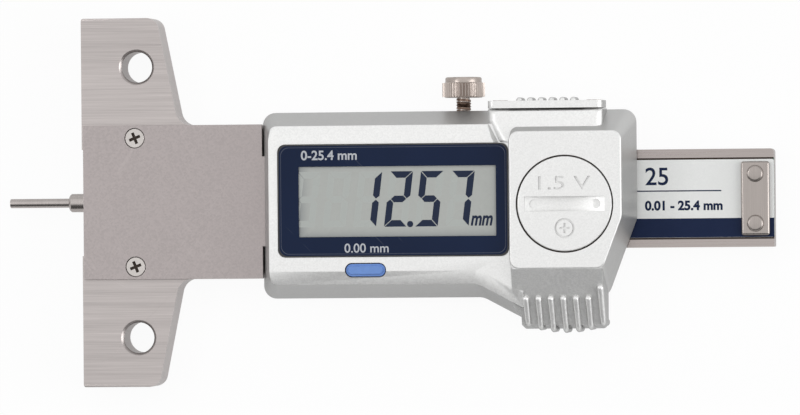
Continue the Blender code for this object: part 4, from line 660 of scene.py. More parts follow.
LINES_X = (70.0, 6500.0, 6500.0)
LINES_Y = (6500.0, 70.0, 6500.0)
LINES_ROUND = (2500.0, 400.0, 2500.0)
MATERIALS = {
    "base_steel": brushed_metal("base_steel", (0.44, 0.405, 0.395), 0.34, LINES_X, contrast=0.2),
    "cover_steel": blasted_metal("cover_steel", (0.405, 0.365, 0.36), 0.45, 3800.0),
    "back_steel": brushed_metal("back_steel", (0.47, 0.44, 0.42), 0.36, LINES_X),
    "frame_steel": brushed_metal("frame_steel", (0.42, 0.39, 0.37), 0.38, LINES_X),
    "beam_steel": brushed_metal("beam_steel", (0.39, 0.35, 0.335), 0.3, LINES_X),
    "probe_steel": brushed_metal("probe_steel", (0.44, 0.405, 0.39), 0.25, (5000.0, 900.0, 900.0)),
    "stop_steel": brushed_metal("stop_steel", (0.37, 0.335, 0.315), 0.3, LINES_Y, wear=0.9),
    "clamp_steel": brushed_metal("clamp_steel", (0.42, 0.37, 0.34), 0.34, LINES_ROUND, wear=0.7),
    "screw_steel": brushed_metal(
        "screw_steel", (0.53, 0.5, 0.48), 0.3, (3000.0, 3000.0, 400.0), wear=0.8
    ),
    "battery_steel": brushed_metal("battery_steel", (0.6, 0.58, 0.55), 0.25, LINES_X),
    "brass": brushed_metal("brass", (0.6, 0.43, 0.16), 0.34, LINES_X),
    "silver_shell": flake_paint("silver_shell", (0.84, 0.84, 0.832), 0.4, 0.6, 1.0),
    "window": glass_print("window", (0.006, 0.015, 0.048)),
    "button": moulded("button", (0.14, 0.28, 0.66), 0.38, 2500.0, 0.000004, 0.08),
    "label": moulded("label", (0.8, 0.81, 0.8), 0.42, 4000.0, 0.000001, 0.03, gloss=0.3),
    "board": circuit("board", (0.02, 0.12, 0.06)),
    "black_plastic": moulded("black_plastic", (0.03, 0.03, 0.032), 0.5),
    # Painted shade: a dark brown stand-in for the shade in the label's grooves, the screws' recesses
    # and the gap round the cap.
    "groove_dark": moulded("groove_dark", (0.045, 0.032, 0.026), 0.6, 3000.0, gloss=0.2),
    "rubber": moulded("rubber", (0.022, 0.02, 0.019), 0.75, 2000.0, 0.000006),
}
MATERIALS["lcd"] = lcd_field(
    "lcd", (0.44, 0.455, 0.435), FACE_X + VIEW_LEFT_X, FACE_X + VIEW_RIGHT_X, VIEW_LOW_Y, VIEW_HIGH_Y
)
INK = moulded("navy_ink", (0.009, 0.018, 0.055), 0.5, 4000.0, 0.000001, 0.06, gloss=0.12)
DIGIT_INK = moulded("digit_ink", (0.016, 0.025, 0.055), 0.5, 3000.0, 0.0000005, 0.05, gloss=0.15)
GHOST_INK = moulded("ghost_ink", (0.43, 0.455, 0.435), 0.3, 3000.0, 0.0000005, 0.01)
PAINTED_GROOVE_SHADE = MATERIALS["groove_dark"]
THREAD_STEEL = brushed_metal("thread_steel", (0.2, 0.14, 0.11), 0.4, LINES_ROUND, wear=0.8)
FAINT_LINE = moulded("faint_line", (0.05, 0.062, 0.1), 0.3, 3000.0, 0.0000005, 0.03)
WHITE_PRINT = moulded("white_print", (0.5, 0.52, 0.56), 0.5, 3000.0, 0.000001, 0.03, gloss=0.2)


# Shape helpers


def object_from(bm, name):
    mesh = bpy.data.meshes.new(name)
    bm.to_mesh(mesh)
    bm.free()
    obj = bpy.data.objects.new(name, mesh)
    bpy.context.scene.collection.objects.link(obj)
    return obj


def bake(obj):
    """Applies the modifiers, so that the object holds its final mesh."""
    bpy.context.view_layer.update()
    graph = bpy.context.evaluated_depsgraph_get()
    mesh = bpy.data.meshes.new_from_object(obj.evaluated_get(graph))
    mesh.name = obj.name
    if obj.type != "MESH":
        name = obj.name
        bpy.data.objects.remove(obj, do_unlink=True)
        obj = bpy.data.objects.new(name, mesh)
        bpy.context.scene.collection.objects.link(obj)
        return obj
    obj.modifiers.clear()
    obj.data = mesh
    return obj


def box(name, low, high):
    """A box between two corners."""
    low = Vector(low)
    high = Vector(high)
    bm = bmesh.new()
    bmesh.ops.create_cube(bm, size=1.0)
    bmesh.ops.scale(bm, vec=high - low, verts=bm.verts)
    bmesh.ops.translate(bm, vec=(low + high) / 2, verts=bm.verts)
    return object_from(bm, name)


def rectangle(left, low, right, high):
    return [(left, low), (right, low), (right, high), (left, high)]


def rounded(corners, radii, steps=CORNER_STEPS):
    """The outline through the corners, each turned with its radius."""
    points = []
    count = len(corners)
    for index, corner in enumerate(corners):
        here = Vector(corner)
        before = (Vector(corners[index - 1]) - here).normalized()
        after = (Vector(corners[(index + 1) % count]) - here).normalized()
        half_angle = before.angle(after) / 2
        radius = radii[index]
        middle = here + (before + after).normalized() * (radius / math.sin(half_angle))
        start = here + before * (radius / math.tan(half_angle)) - middle
        end = here + after * (radius / math.tan(half_angle)) - middle
        sweep = start.angle_signed(end)
        for step in range(steps + 1):
            turn = Matrix.Rotation(-sweep * step / steps, 2)
            points.append(middle + turn @ start)
    return points


def inset(corners, distances):
    """The counter-clockwise outline with edge i, from corner i on, moved inwards."""
    count = len(corners)
    lines = []
    for index in range(count):
        start = Vector(corners[index])
        along = (Vector(corners[(index + 1) % count]) - start).normalized()
        inward = Vector((-along.y, along.x))
        lines.append((start + inward * distances[index], along))
    moved = []
    for index in range(count):
        point, along = lines[index - 1]
        other, other_along = lines[index]
        gap = other - point
        cross = along.x * other_along.y - along.y * other_along.x
        reach = (gap.x * other_along.y - gap.y * other_along.x) / cross
        moved.append(point + along * reach)
    return moved


def plate(name, outlines, low, high, plane="XY"):
    """A flat plate: outlines in its plane, filled between low and high across it."""
    curve = bpy.data.curves.new(name, "CURVE")
    curve.dimensions = "2D"
    curve.fill_mode = "BOTH"
    curve.extrude = (high - low) / 2
    for outline in outlines:
        spline = curve.splines.new("POLY")
        spline.points.add(len(outline) - 1)
        for point, place in zip(spline.points, outline):
            point.co = (place[0], place[1], 0.0, 1.0)
        spline.use_cyclic_u = True
    drawn = bpy.data.objects.new(name, curve)
    bpy.context.scene.collection.objects.link(drawn)
    obj = bake(drawn)
    bm = bmesh.new()
    bm.from_mesh(obj.data)
    bmesh.ops.remove_doubles(bm, verts=bm.verts, dist=WELD)
    bmesh.ops.translate(bm, vec=(0, 0, (low + high) / 2), verts=bm.verts)
    if plane == "YZ":
        bm.transform(Matrix(((0, 0, 1, 0), (1, 0, 0, 0), (0, 1, 0, 0), (0, 0, 0, 1))))
    if plane == "XZ":
        bm.transform(Matrix(((1, 0, 0, 0), (0, 0, -1, 0), (0, 1, 0, 0), (0, 0, 0, 1))))
    bmesh.ops.recalc_face_normals(bm, faces=bm.faces)
    bm.to_mesh(obj.data)
    bm.free()
    return obj


def loft(name, rings):
    """A solid through rings with the same number of points, lowest ring first."""
    bm = bmesh.new()
    rows = [[bm.verts.new(point) for point in ring] for ring in rings]
    count = len(rows[0])
    for lower, upper in zip(rows, rows[1:]):
        for index in range(count):
            after = (index + 1) % count
            bm.faces.new((lower[index], lower[after], upper[after], upper[index]))
    bm.faces.new(list(reversed(rows[0])))
    bm.faces.new(rows[-1])
    bmesh.ops.recalc_face_normals(bm, faces=bm.faces)
    return object_from(bm, name)


def level(outline, height):
    """The outline as a ring at one height, or at a height that depends on the point."""
    if callable(height):
        return [(point[0], point[1], height(point)) for point in outline]
    return [(point[0], point[1], height) for point in outline]


def turned(name, profile, place, axis="Z", sides=ROUND_SIDES):
    """A solid turned about an axis: the profile's (radius, height) pairs run top to bottom."""
    bm = bmesh.new()
    points = [bm.verts.new((radius, 0, height)) for radius, height in profile]
    for first, second in zip(points, points[1:]):
        bm.edges.new((first, second))
    obj = object_from(bm, name)
    screw = obj.modifiers.new("turn", "SCREW")
    screw.steps = sides
    screw.render_steps = sides
    screw.use_merge_vertices = True
    screw.merge_threshold = WELD
    bake(obj)
    turns = {
        "Z": Matrix.Identity(4),
        "Y": Matrix.Rotation(-math.pi / 2, 4, "X"),
        "X": Matrix.Rotation(math.pi / 2, 4, "Y"),
        "-Z": Matrix.Rotation(math.pi, 4, "X"),
    }
    obj.data.transform(Matrix.Translation(place) @ turns[axis])
    return obj


def turned_ring(name, inner, outer, low, high, place, sides=ROUND_SIDES):
    """A ring about the vertical at a place, as a loft of its section closed on itself."""
    bm = bmesh.new()
    section = [(inner, high), (outer, high), (outer, low), (inner, low)]
    rows = []
    for step in range(sides):
        turn = 2 * math.pi * step / sides
        way = (math.cos(turn), math.sin(turn))
        rows.append(
            [bm.verts.new((place[0] + way[0] * r, place[1] + way[1] * r, z)) for r, z in section]
        )
    for step, row in enumerate(rows):
        after = rows[(step + 1) % sides]
        for index in range(4):
            bm.faces.new((row[index], row[index - 1], after[index - 1], after[index]))
    bmesh.ops.recalc_face_normals(bm, faces=bm.faces)
    return object_from(bm, name)


def rod(name, radius, low, high, place, axis="Z", sides=ROUND_SIDES):
    return turned(name, [(0, high), (radius, high), (radius, low), (0, low)], place, axis, sides)


def combine(obj, tool, operation):
    """A Boolean with the tool, applied at once; the tool is then gone."""
    modifier = obj.modifiers.new("combine", "BOOLEAN")
    modifier.operation = operation
    modifier.solver = "EXACT"
    modifier.object = tool
    bake(obj)
    bpy.data.objects.remove(tool, do_unlink=True)
    return obj


def cut(obj, tool):
    return combine(obj, tool, "DIFFERENCE")


def join(obj, tool):
    return combine(obj, tool, "UNION")


def soften(obj, width, segments=2, angle=SHARP_ANGLE):
    """Rounds the sharp edges by a width."""
    modifier = obj.modifiers.new("soften", "BEVEL")
    modifier.width = width
    modifier.segments = segments
    modifier.limit_method = "ANGLE"
    modifier.angle_limit = angle
    modifier.harden_normals = False
    return bake(obj)


def stadium(length, width, middle, steps=ROUND_SIDES // 2):
    """An outline with two parallel sides and round ends."""
    radius = width / 2
    reach = length / 2 - radius
    points = []
    for side in (1, -1):
        for step in range(steps + 1):
            angle = math.pi * step / steps - side * math.pi / 2
            x = middle[0] + side * reach + radius * math.cos(angle)
            points.append((x, middle[1] + radius * math.sin(angle)))
    return points


def finish(obj, material, body, slot, *nodes):
    """Puts a shape, drawn from the measuring face, into the frame on its body."""
    obj.data.transform(Matrix.Translation(SHIFT))
    obj.data.materials.clear()
    obj.data.materials.append(material if material else MATERIALS[slot])
    obj.data.shade_smooth()
    obj.data.set_sharp_from_angle(angle=SHARP_ANGLE)
    evened = obj.modifiers.new("evened", "WEIGHTED_NORMAL")
    evened.keep_sharp = True
    evened.weight = 100
    bake(obj)
    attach(obj, body)
    if nodes:
        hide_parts(*nodes)
    return obj


# Copies made by Geometry Nodes


def scatter_tree():
    """Copies of a shape on the points of a mesh, each turned by the point's own angle."""
    tree = bpy.data.node_groups.new("copies_on_points", "GeometryNodeTree")
    for label, kind in (
        ("Points", "Geometry"), ("Shape", "Object"), ("Turn", "Float"), ("Finish", "Material")
    ):
        tree.interface.new_socket(label, in_out="INPUT", socket_type="NodeSocket" + kind)
    tree.interface.new_socket("Copies", in_out="OUTPUT", socket_type="NodeSocketGeometry")
    source = tree.nodes.new("NodeGroupInput").outputs
    sink = tree.nodes.new("NodeGroupOutput").inputs
    shape = add(tree, "GeometryNodeObjectInfo", {"Object": source["Shape"]}).outputs["Geometry"]
    index = tree.nodes.new("GeometryNodeInputIndex").outputs[0]
    turn = add(tree, "ShaderNodeMath", {0: index, 1: source["Turn"]}, operation="MULTIPLY").outputs[0]
    rotation = add(tree, "ShaderNodeCombineXYZ", {"Y": turn}).outputs[0]
    inputs = {"Points": source["Points"], "Instance": shape, "Rotation": rotation}
    copies = add(tree, "GeometryNodeInstanceOnPoints", inputs).outputs[0]
    solid = add(tree, "GeometryNodeRealizeInstances", {0: copies}).outputs[0]
    painted = add(
        tree, "GeometryNodeSetMaterial", {"Geometry": solid, "Material": source["Finish"]}
    ).outputs[0]
    tree.links.new(painted, sink["Copies"])
    return tree


def thread_tree():
    """A thread: a ridge swept along a helix of a given radius, pitch and number of turns."""
    tree = bpy.data.node_groups.new("screw_thread", "GeometryNodeTree")
    tree.interface.new_socket("Start", in_out="INPUT", socket_type="NodeSocketGeometry")
    for label in ("Radius", "Pitch", "Turns", "Ridge"):
        tree.interface.new_socket(label, in_out="INPUT", socket_type="NodeSocketFloat")
    tree.interface.new_socket("Finish", in_out="INPUT", socket_type="NodeSocketMaterial")
    tree.interface.new_socket("Thread", in_out="OUTPUT", socket_type="NodeSocketGeometry")
    source = tree.nodes.new("NodeGroupInput").outputs
    sink = tree.nodes.new("NodeGroupOutput").inputs
    height = add(
        tree, "ShaderNodeMath", {0: source["Pitch"], 1: source["Turns"]}, operation="MULTIPLY"
    ).outputs[0]
    helix = {
        "Rotations": source["Turns"],
        "Height": height,
        "Start Radius": source["Radius"],
        "End Radius": source["Radius"],
    }
    spiral = add(tree, "GeometryNodeCurveSpiral", {"Resolution": 24, **helix}).outputs[0]
    ridge = add(
        tree, "GeometryNodeCurvePrimitiveCircle", {"Resolution": 4, "Radius": source["Ridge"]}
    ).outputs[0]
    swept = {"Curve": spiral, "Profile Curve": ridge, "Fill Caps": True}
    solid = add(tree, "GeometryNodeCurveToMesh", swept).outputs[0]
    plain = add(tree, "GeometryNodeRealizeInstances", {0: solid}).outputs[0]
    painted = add(
        tree, "GeometryNodeSetMaterial", {"Geometry": plain, "Material": source["Finish"]}
    ).outputs[0]
    tree.links.new(painted, sink["Thread"])
    return tree


SCATTER = scatter_tree()
THREAD = thread_tree()


def grown(name, points, tree, values):
    """The plain mesh that a node tree makes from these points."""
    bm = bmesh.new()
    for point in points:
        bm.verts.new(point)
    obj = object_from(bm, name)
    modifier = obj.modifiers.new("nodes", "NODES")
    modifier.node_group = tree
    for item in tree.interface.items_tree:
        if item.in_out == "INPUT" and item.name in values:
            modifier[item.identifier] = values[item.name]
    return bake(obj)


def copies(name, points, shape, finish_name, turn=0.0):
    """Copies of a shape on points, as one plain mesh; the shape is then gone."""
    values = {"Shape": shape, "Turn": turn, "Finish": MATERIALS[finish_name]}
    obj = grown(name, points, SCATTER, values)
    bpy.data.objects.remove(shape, do_unlink=True)
    return obj


# Base, plates and screws


def make_base():
    low, high = place_of("base_block")
    half = high.y
    stem = STEM_WIDTH / 2
    corners = [(0, -half), (SHOULDER_X, -half), (FLANK_FOOT_X, -stem), (high.x, -stem)]
    corners += [(x, -y) for x, y in reversed(corners)]
    lower = [WING_TIP_R, WING_CORNER_R, FLANK_FILLET_R, STEM_CORNER_R]
    base = plate("base", [rounded(corners, lower + lower[::-1])], low.z, high.z)
    relief_high = (RELIEF_DEPTH, RELIEF_HALF_WIDTH, high.z + OVERRUN)
    cut(base, box("relief", (-OVERRUN, -RELIEF_HALF_WIDTH, -OVERRUN), relief_high))
    beam_low, beam_high = place_of("beam")
    channel_half = beam_high.y + SEAT_GAP
    end = high.x + OVERRUN
    cut(
        base,
        box(
            "channel",
            (FRONT_WALL, -channel_half, -OVERRUN),
            (end, channel_half, beam_high.z + SEAT_GAP),
        ),
    )
    back_high = place_of("back_plate")[1]
    recess_half = BACK_HALF_WIDTH + SEAT_GAP
    recess_left = BACK_LEFT_X - SEAT_GAP
    cut(
        base,
        box(
            "recess", (recess_left, -recess_half, -OVERRUN), (end, recess_half, back_high.z + SEAT_GAP)
        ),
    )
    axis_z = (beam_low.z + beam_high.z) / 2
    cut(base, rod("bore", ROD_R + SEAT_GAP, -OVERRUN, FRONT_WALL + OVERRUN, (0, 0, axis_z), "X"))
    wide = WING_HOLE_R + WING_HOLE_CHAMFER + OVERRUN
    for side in (1, -1):
        profile = [
            (0, high.z + OVERRUN),
            (wide, high.z + OVERRUN),
            (WING_HOLE_R, high.z - WING_HOLE_CHAMFER),
            (WING_HOLE_R, WING_HOLE_CHAMFER),
            (wide, -OVERRUN),
            (0, -OVERRUN),
        ]
        cut(base, turned("wing_hole", profile, (WING_HOLE_X, side * WING_HOLE_Y, 0)))
    soften(base, EDGE_SOFTNESS)
    finish(base, None, "root", "base_steel", "base_block")


def make_cover():
    low, high = place_of("cover_plate")
    half = high.y
    corners = [
        (low.x, -half),
        (COVER_RIGHT_X, -half),
        (COVER_RIGHT_X, -TONGUE_HALF_WIDTH),
        (high.x, -TONGUE_HALF_WIDTH),
    ]
    corners += [(x, -y) for x, y in reversed(corners)]
    cover = plate("cover", [corners], low.z, high.z)
    for node in ("cover_screw_upper", "cover_screw_lower"):
        head_low, head_high = place_of(node)
        middle = (head_low + head_high) / 2
        hole = rod(
            "hole",
            head_high.x - middle.x + SEAT_GAP,
            low.z - OVERRUN,
            high.z + OVERRUN,
            (middle.x, middle.y, 0),
        )
        cut(cover, hole)
    soften(cover, THIN_SOFTNESS)
    finish(cover, None, "root", "cover_steel", "cover_plate")


def cross_bar(head_r, turn, low, high):
    """One bar of the cross in a screw's head."""
    span = head_r * CROSS_SPAN_SHARE
    arm = head_r * CROSS_ARM_SHARE
    bar = plate("bar", [rectangle(-span, -arm, span, arm)], low, high)
    bar.data.transform(Matrix.Rotation((turn + SCREW_CROSS_TURN) * DEG, 4, "Z"))
    return bar


def cross_screw(head_r, shank_r, length):
    """A countersunk screw at the origin, its head's face up, with a cross recess."""
    profile = [
        (0, 0),
        (head_r - SCREW_RIM / 2, 0),
        (head_r, -SCREW_RIM / 2),
        (head_r, -SCREW_RIM),
        (shank_r, SCREW_RIM - head_r + shank_r),
        (shank_r, shank_r / 2 - length),
        (shank_r / 2, -length),
        (0, -length),
    ]
    screw = turned("screw", profile, (0, 0, 0))
    for turn in (0, 90):
        bar = cross_bar(head_r, turn, -SCREW_CROSS_DEPTH, OVERRUN)
        cut(screw, bar)
    return screw


def make_screws():
    """The cross-headed screws of the cover plate, the back and the port, by their CAD nodes."""
    sets = {
        "cover_screws": (["cover_screw_upper", "cover_screw_lower"], "Z"),
        "back_screws": (
            [f"{kind}_screw_{number}" for kind in ("stem", "housing") for number in (1, 2, 3, 4)], "-Z"
        ),
        "port_screws": (["port_screw_left", "port_screw_right"], "Y"),
    }
    turns = {
        "Z": Matrix.Identity(4),
        "-Z": Matrix.Rotation(math.pi, 4, "X"),
        "Y": Matrix.Rotation(-math.pi / 2, 4, "X"),
    }
    for name, (nodes, axis) in sets.items():
        boxes = [place_of(node) for node in nodes]
        low, high = boxes[0]
        head_r = (high.x - low.x) / 2
        length = min((b[1].z - b[0].z) if axis != "Y" else (b[1].y - b[0].y) for b in boxes)
        shape = cross_screw(head_r, head_r / 2, length)
        shape.data.transform(turns[axis])
        # A dark cross of painted shade lies deep in each head's recess, below its face.
        shade = cross_bar(head_r, 0, HAIR - SCREW_CROSS_DEPTH, SCREW_SHADE_Z)
        join(shade, cross_bar(head_r, 90, HAIR - SCREW_CROSS_DEPTH, SCREW_SHADE_Z))
        shade.data.transform(turns[axis] @ Matrix.Diagonal((0.99, 0.99, 1.0, 1.0)))
        points = []
        for b in boxes:
            middle = (b[0] + b[1]) / 2
            if axis == "Y":
                points.append((middle.x, b[1].y, middle.z))
            else:
                points.append((middle.x, middle.y, b[1].z if axis == "Z" else b[0].z))
        screws = copies(name, points, shape, "screw_steel")
        finish(screws, None, "root", "screw_steel", *nodes)
        finish(
            copies(f"{name}_shade", points, shade, "groove_dark"), PAINTED_GROOVE_SHADE, "root", "screw_steel"
        )


# Beam and what it carries


def make_beam():
    low, high = place_of("beam")
    floor = high.z - LABEL_FLOOR
    upper = LABEL_TOP_Y + SEAT_GAP
    lower = LABEL_LOW_Y - SEAT_GAP
    profile = [
        (BEAM_LOW_Y + BEAM_CHAMFER, low.z),
        (BEAM_TOP_Y - BEAM_CHAMFER, low.z),
        (BEAM_TOP_Y, low.z + BEAM_CHAMFER),
        (BEAM_TOP_Y, high.z),
        (upper + GROOVE_WIDTH, high.z),
        (upper + GROOVE_WIDTH, floor),
        (lower - GROOVE_WIDTH, floor),
        (lower - GROOVE_WIDTH, high.z),
        (BEAM_LOW_Y, high.z),
        (BEAM_LOW_Y, low.z + BEAM_CHAMFER),
    ]
    beam = plate("beam_bar", [profile], low.x, high.x, "YZ")
    outline = rounded(
        rectangle(low.x - OVERRUN, BEAM_LOW_Y - SEAT_GAP, high.x, BEAM_TOP_Y),
        [SEAT_GAP, BEAM_LOW_CORNER_R, BEAM_CORNER_R, SEAT_GAP],
    )
    combine(beam, plate("beam_outline", [outline], low.z - OVERRUN, high.z + OVERRUN), "INTERSECT")
    soften(beam, EDGE_SOFTNESS)
    finish(beam, None, "beam_slide_body", "beam_steel", "beam")
    left = place_of("scale_label")[0].x
    # Dark strips of painted shade lie on the floors of the two grooves beside the label.
    grooves = [
        rectangle(left, upper - SEAT_GAP, high.x - SEAT_GAP, upper + GROOVE_WIDTH - HAIR),
        rectangle(left, lower - GROOVE_WIDTH + HAIR, high.x - SEAT_GAP, lower + SEAT_GAP),
    ]
    lines = plate("label_grooves", grooves, floor - HAIR, high.z - GROOVE_DEPTH)
    finish(lines, PAINTED_GROOVE_SHADE, "beam_slide_body", "label")


def lettering(name, text, height, place, top_z, bold=0.0, slant=0.0, squeeze=1.0):
    """Figures as a thin raised print, their foot line at the place."""
    curve = bpy.data.curves.new(name, "FONT")
    curve.body = text
    curve.size = 1.0
    curve.offset = bold
    curve.shear = slant
    drawn = bpy.data.objects.new(name, curve)
    bpy.context.scene.collection.objects.link(drawn)
    obj = bake(drawn)
    tall = max(vertex.co.y for vertex in obj.data.vertices)
    scale = height / tall
    thick = obj.modifiers.new("thick", "SOLIDIFY")
    thick.thickness = HAIR / 2
    thick.offset = 1.0
    sized = Matrix.Diagonal((scale * squeeze, scale, 1.0, 1.0))
    obj.data.transform(Matrix.Translation((place[0], place[1], top_z)) @ sized)
    return bake(obj)


def engraved(name, text, height, place, top_z, width):
    """A tool that engraves figures, stretched to a width."""
    figures = lettering(name, text, height, place, top_z)
    points = [vertex.co for vertex in figures.data.vertices]
    left = min(point.x for point in points)
    right = max(point.x for point in points)
    for point in points:
        point.x = place[0] + (point.x - left) * width / (right - left)
        point.z = top_z + (OVERRUN if point.z > top_z + HAIR / 4 else -CAP_RELIEF)
    return figures


def make_label():
    low, high = place_of("scale_label")
    radii = [LABEL_CORNER_R] * 4
    outline = rounded(rectangle(low.x, LABEL_LOW_Y, high.x, LABEL_TOP_Y), radii)
    label = plate("label_strip", [outline], low.z, high.z)
    finish(label, None, "beam_slide_body", "label", "scale_label")
    top = high.z
    stripe = rectangle(low.x, STRIPE_LOW_Y, high.x, STRIPE_HIGH_Y)
    rule = rectangle(low.x, RULE_Y - RULE_WIDTH / 2, RULE_END_X, RULE_Y + RULE_WIDTH / 2)
    marks = plate("label_print", [stripe], top, top + HAIR / 2)
    join(marks, plate("rule", [rule], top, top + HAIR / 2))
    finish(marks, INK, "beam_slide_body", "label")
    left = HOUSING_RIGHT_X + 1.2 * MM
    large = lettering(
        "label_range",
        "25",
        LARGE_FIGURE_HEIGHT,
        (left, LARGE_FIGURE_Y - LARGE_FIGURE_HEIGHT / 2),
        top,
        0.01,
    )
    finish(large, INK, "beam_slide_body", "label")
    place = (left, SMALL_FIGURE_Y - SMALL_FIGURE_HEIGHT / 2)
    small = lettering("label_figures", "0.01 - 25.4 mm", SMALL_FIGURE_HEIGHT, place, top, 0.04)
    finish(small, INK, "beam_slide_body", "label")


def make_stop():
    low, high = place_of("stop_plate")
    low.y -= STOP_DROP
    high.y -= STOP_DROP
    stop = box("stop", low, high)
    soften(stop, STOP_BEVEL, 3)
    finish(stop, None, "beam_slide_body", "stop_steel", "stop_plate")
    for node in ("stop_rivet_upper", "stop_rivet_lower"):
        rivet_low, rivet_high = place_of(node)
        middle = (rivet_low + rivet_high) / 2
        middle.y -= STOP_DROP
        head_low = high.z + SEAT_GAP
        head = rivet_high.z - head_low
        profile = [(0, rivet_high.z), (RIVET_FLAT_R, rivet_high.z)]
        for step in range(1, 6):
            turn = step * 18 * DEG
            radius = RIVET_FLAT_R + (RIVET_HEAD_R - RIVET_FLAT_R) * math.sin(turn)
            profile.append((radius, head_low + head * math.cos(turn)))
        profile += [(RIVET_SHANK_R, head_low), (RIVET_SHANK_R, rivet_low.z), (0, rivet_low.z)]
        rivet = turned(node + "_turned", profile, (middle.x, middle.y, 0))
        finish(rivet, None, "beam_slide_body", "stop_steel", node)


def make_probe():
    low, high = place_of("probe_rod")
    middle_z = (low.z + high.z) / 2
    shoulder = low.x + PIN_LENGTH
    profile = [
        (0, high.x),
        (ROD_TANG_R, high.x),
        (ROD_TANG_R, place_of("beam")[0].x - SEAT_GAP),
        (ROD_R, place_of("beam")[0].x - SEAT_GAP),
        (ROD_R, shoulder + ROD_CHAMFER),
        (ROD_R - ROD_CHAMFER * 0.7, shoulder + ROD_CHAMFER * 0.15),
        (ROD_R - ROD_CHAMFER, shoulder),
        (PIN_R + 0.1 * MM, shoulder),
        (PIN_R, shoulder - 0.1 * MM),
        (PIN_R, low.x + PIN_TIP_R),
        (PIN_R - PIN_TIP_R * 0.3, low.x + PIN_TIP_R * 0.3),
        (PIN_R - PIN_TIP_R, low.x),
        (0, low.x),
    ]
    probe = turned("probe", profile, (0, 0, middle_z), "X")
    finish(probe, None, "beam_slide_body", "probe_steel", "probe_rod")


def make_clamp():
    low, high = place_of("clamp_screw")
    place = (CLAMP_X, 0, CLAMP_Z)
    root_r = CLAMP_KNURL_R - KNURL_DEPTH
    ease = CLAMP_EDGE * 0.3
    profile = [
        (0, high.y),
        (CLAMP_CROWN_R - CLAMP_EDGE, high.y),
        (CLAMP_CROWN_R - ease, high.y - ease),
        (CLAMP_CROWN_R, high.y - CLAMP_EDGE),
        (CLAMP_CROWN_R, CLAMP_KNURL_HIGH_Y),
        (root_r - CLAMP_EDGE, CLAMP_KNURL_HIGH_Y),
        (root_r, CLAMP_KNURL_HIGH_Y - CLAMP_EDGE),
        (root_r, CLAMP_KNURL_LOW_Y + CLAMP_EDGE),
        (root_r - CLAMP_EDGE, CLAMP_KNURL_LOW_Y),
        (CLAMP_THREAD_R, CLAMP_KNURL_LOW_Y),
        (CLAMP_THREAD_R, low.y + CLAMP_EDGE),
        (CLAMP_THREAD_R - CLAMP_EDGE, low.y),
        (0, low.y),
    ]
    body = turned("clamp_body", profile, place, "Y")
    finish(body, None, "clamp_screw_body", "clamp_steel", "clamp_screw")
    tall = CLAMP_KNURL_HIGH_Y - CLAMP_KNURL_LOW_Y - CLAMP_EDGE
    width = 2 * math.pi * CLAMP_KNURL_R / KNURL_TEETH
    section = [(root_r - SEAT_GAP, -width / 2), (CLAMP_KNURL_R, 0), (root_r - SEAT_GAP, width / 2)]
    tooth = plate("tooth", [section], -tall / 2, tall / 2, "XZ")
    middle_y = (CLAMP_KNURL_LOW_Y + CLAMP_KNURL_HIGH_Y) / 2
    points = [(CLAMP_X, middle_y, CLAMP_Z)] * KNURL_TEETH
    knurl = copies("clamp_knurl", points, tooth, "clamp_steel", 2 * math.pi / KNURL_TEETH)
    finish(knurl, None, "clamp_screw_body", "clamp_steel")
    turns = (THREAD_TOP_Y - THREAD_LOW_Y) / THREAD_PITCH
    ridge = THREAD_CREST_R - CLAMP_THREAD_R
    values = {
        "Radius": CLAMP_THREAD_R,
        "Pitch": THREAD_PITCH,
        "Turns": turns,
        "Ridge": ridge,
        "Finish": THREAD_STEEL,
    }
    thread = grown("clamp_thread", [(0, 0, 0)], THREAD, values)
    thread.data.transform(
        Matrix.Translation((CLAMP_X, THREAD_LOW_Y, CLAMP_Z)) @ Matrix.Rotation(-math.pi / 2, 4, "X")
    )
    finish(thread, THREAD_STEEL, "clamp_screw_body", "clamp_steel")


# Housing


def display_rings():
    """Rings of the display part: rim, wall's top edge, and face behind the facets."""
    fall = (DISPLAY_END_X - FLARE_X) * FLARE_FALL_SHARE
    corners = [
        (HOUSING_LEFT_X, HOUSING_BOTTOM_Y),
        (FLARE_X, HOUSING_BOTTOM_Y),
        (DISPLAY_END_X, HOUSING_BOTTOM_Y - fall),
        (DISPLAY_END_X, HOUSING_TOP_Y),
        (HOUSING_LEFT_X, HOUSING_TOP_Y),
    ]
    small = SEAT_GAP
    radii = [OUTER_CORNER_R, FLARE_R, small, small, OUTER_CORNER_R]
    wall = inset(corners, [LONG_DRAFT, SIDE_DRAFT, 0, LONG_DRAFT, SIDE_DRAFT])
    wall_radii = [FACE_CORNER_R, FLARE_R, small, small, FACE_CORNER_R]
    across = LONG_DRAFT + FACET_WIDTH
    face = inset(corners, [across, SIDE_DRAFT + FACET_WIDTH, 0, across, SIDE_DRAFT + LEFT_EASE])
    return [
        level(rounded(corners, radii), RIM_Z),
        level(rounded(wall, wall_radii), EDGE_Z),
        level(rounded(face, [small, FLARE_R, small, small, small]), FACE_Z),
    ]


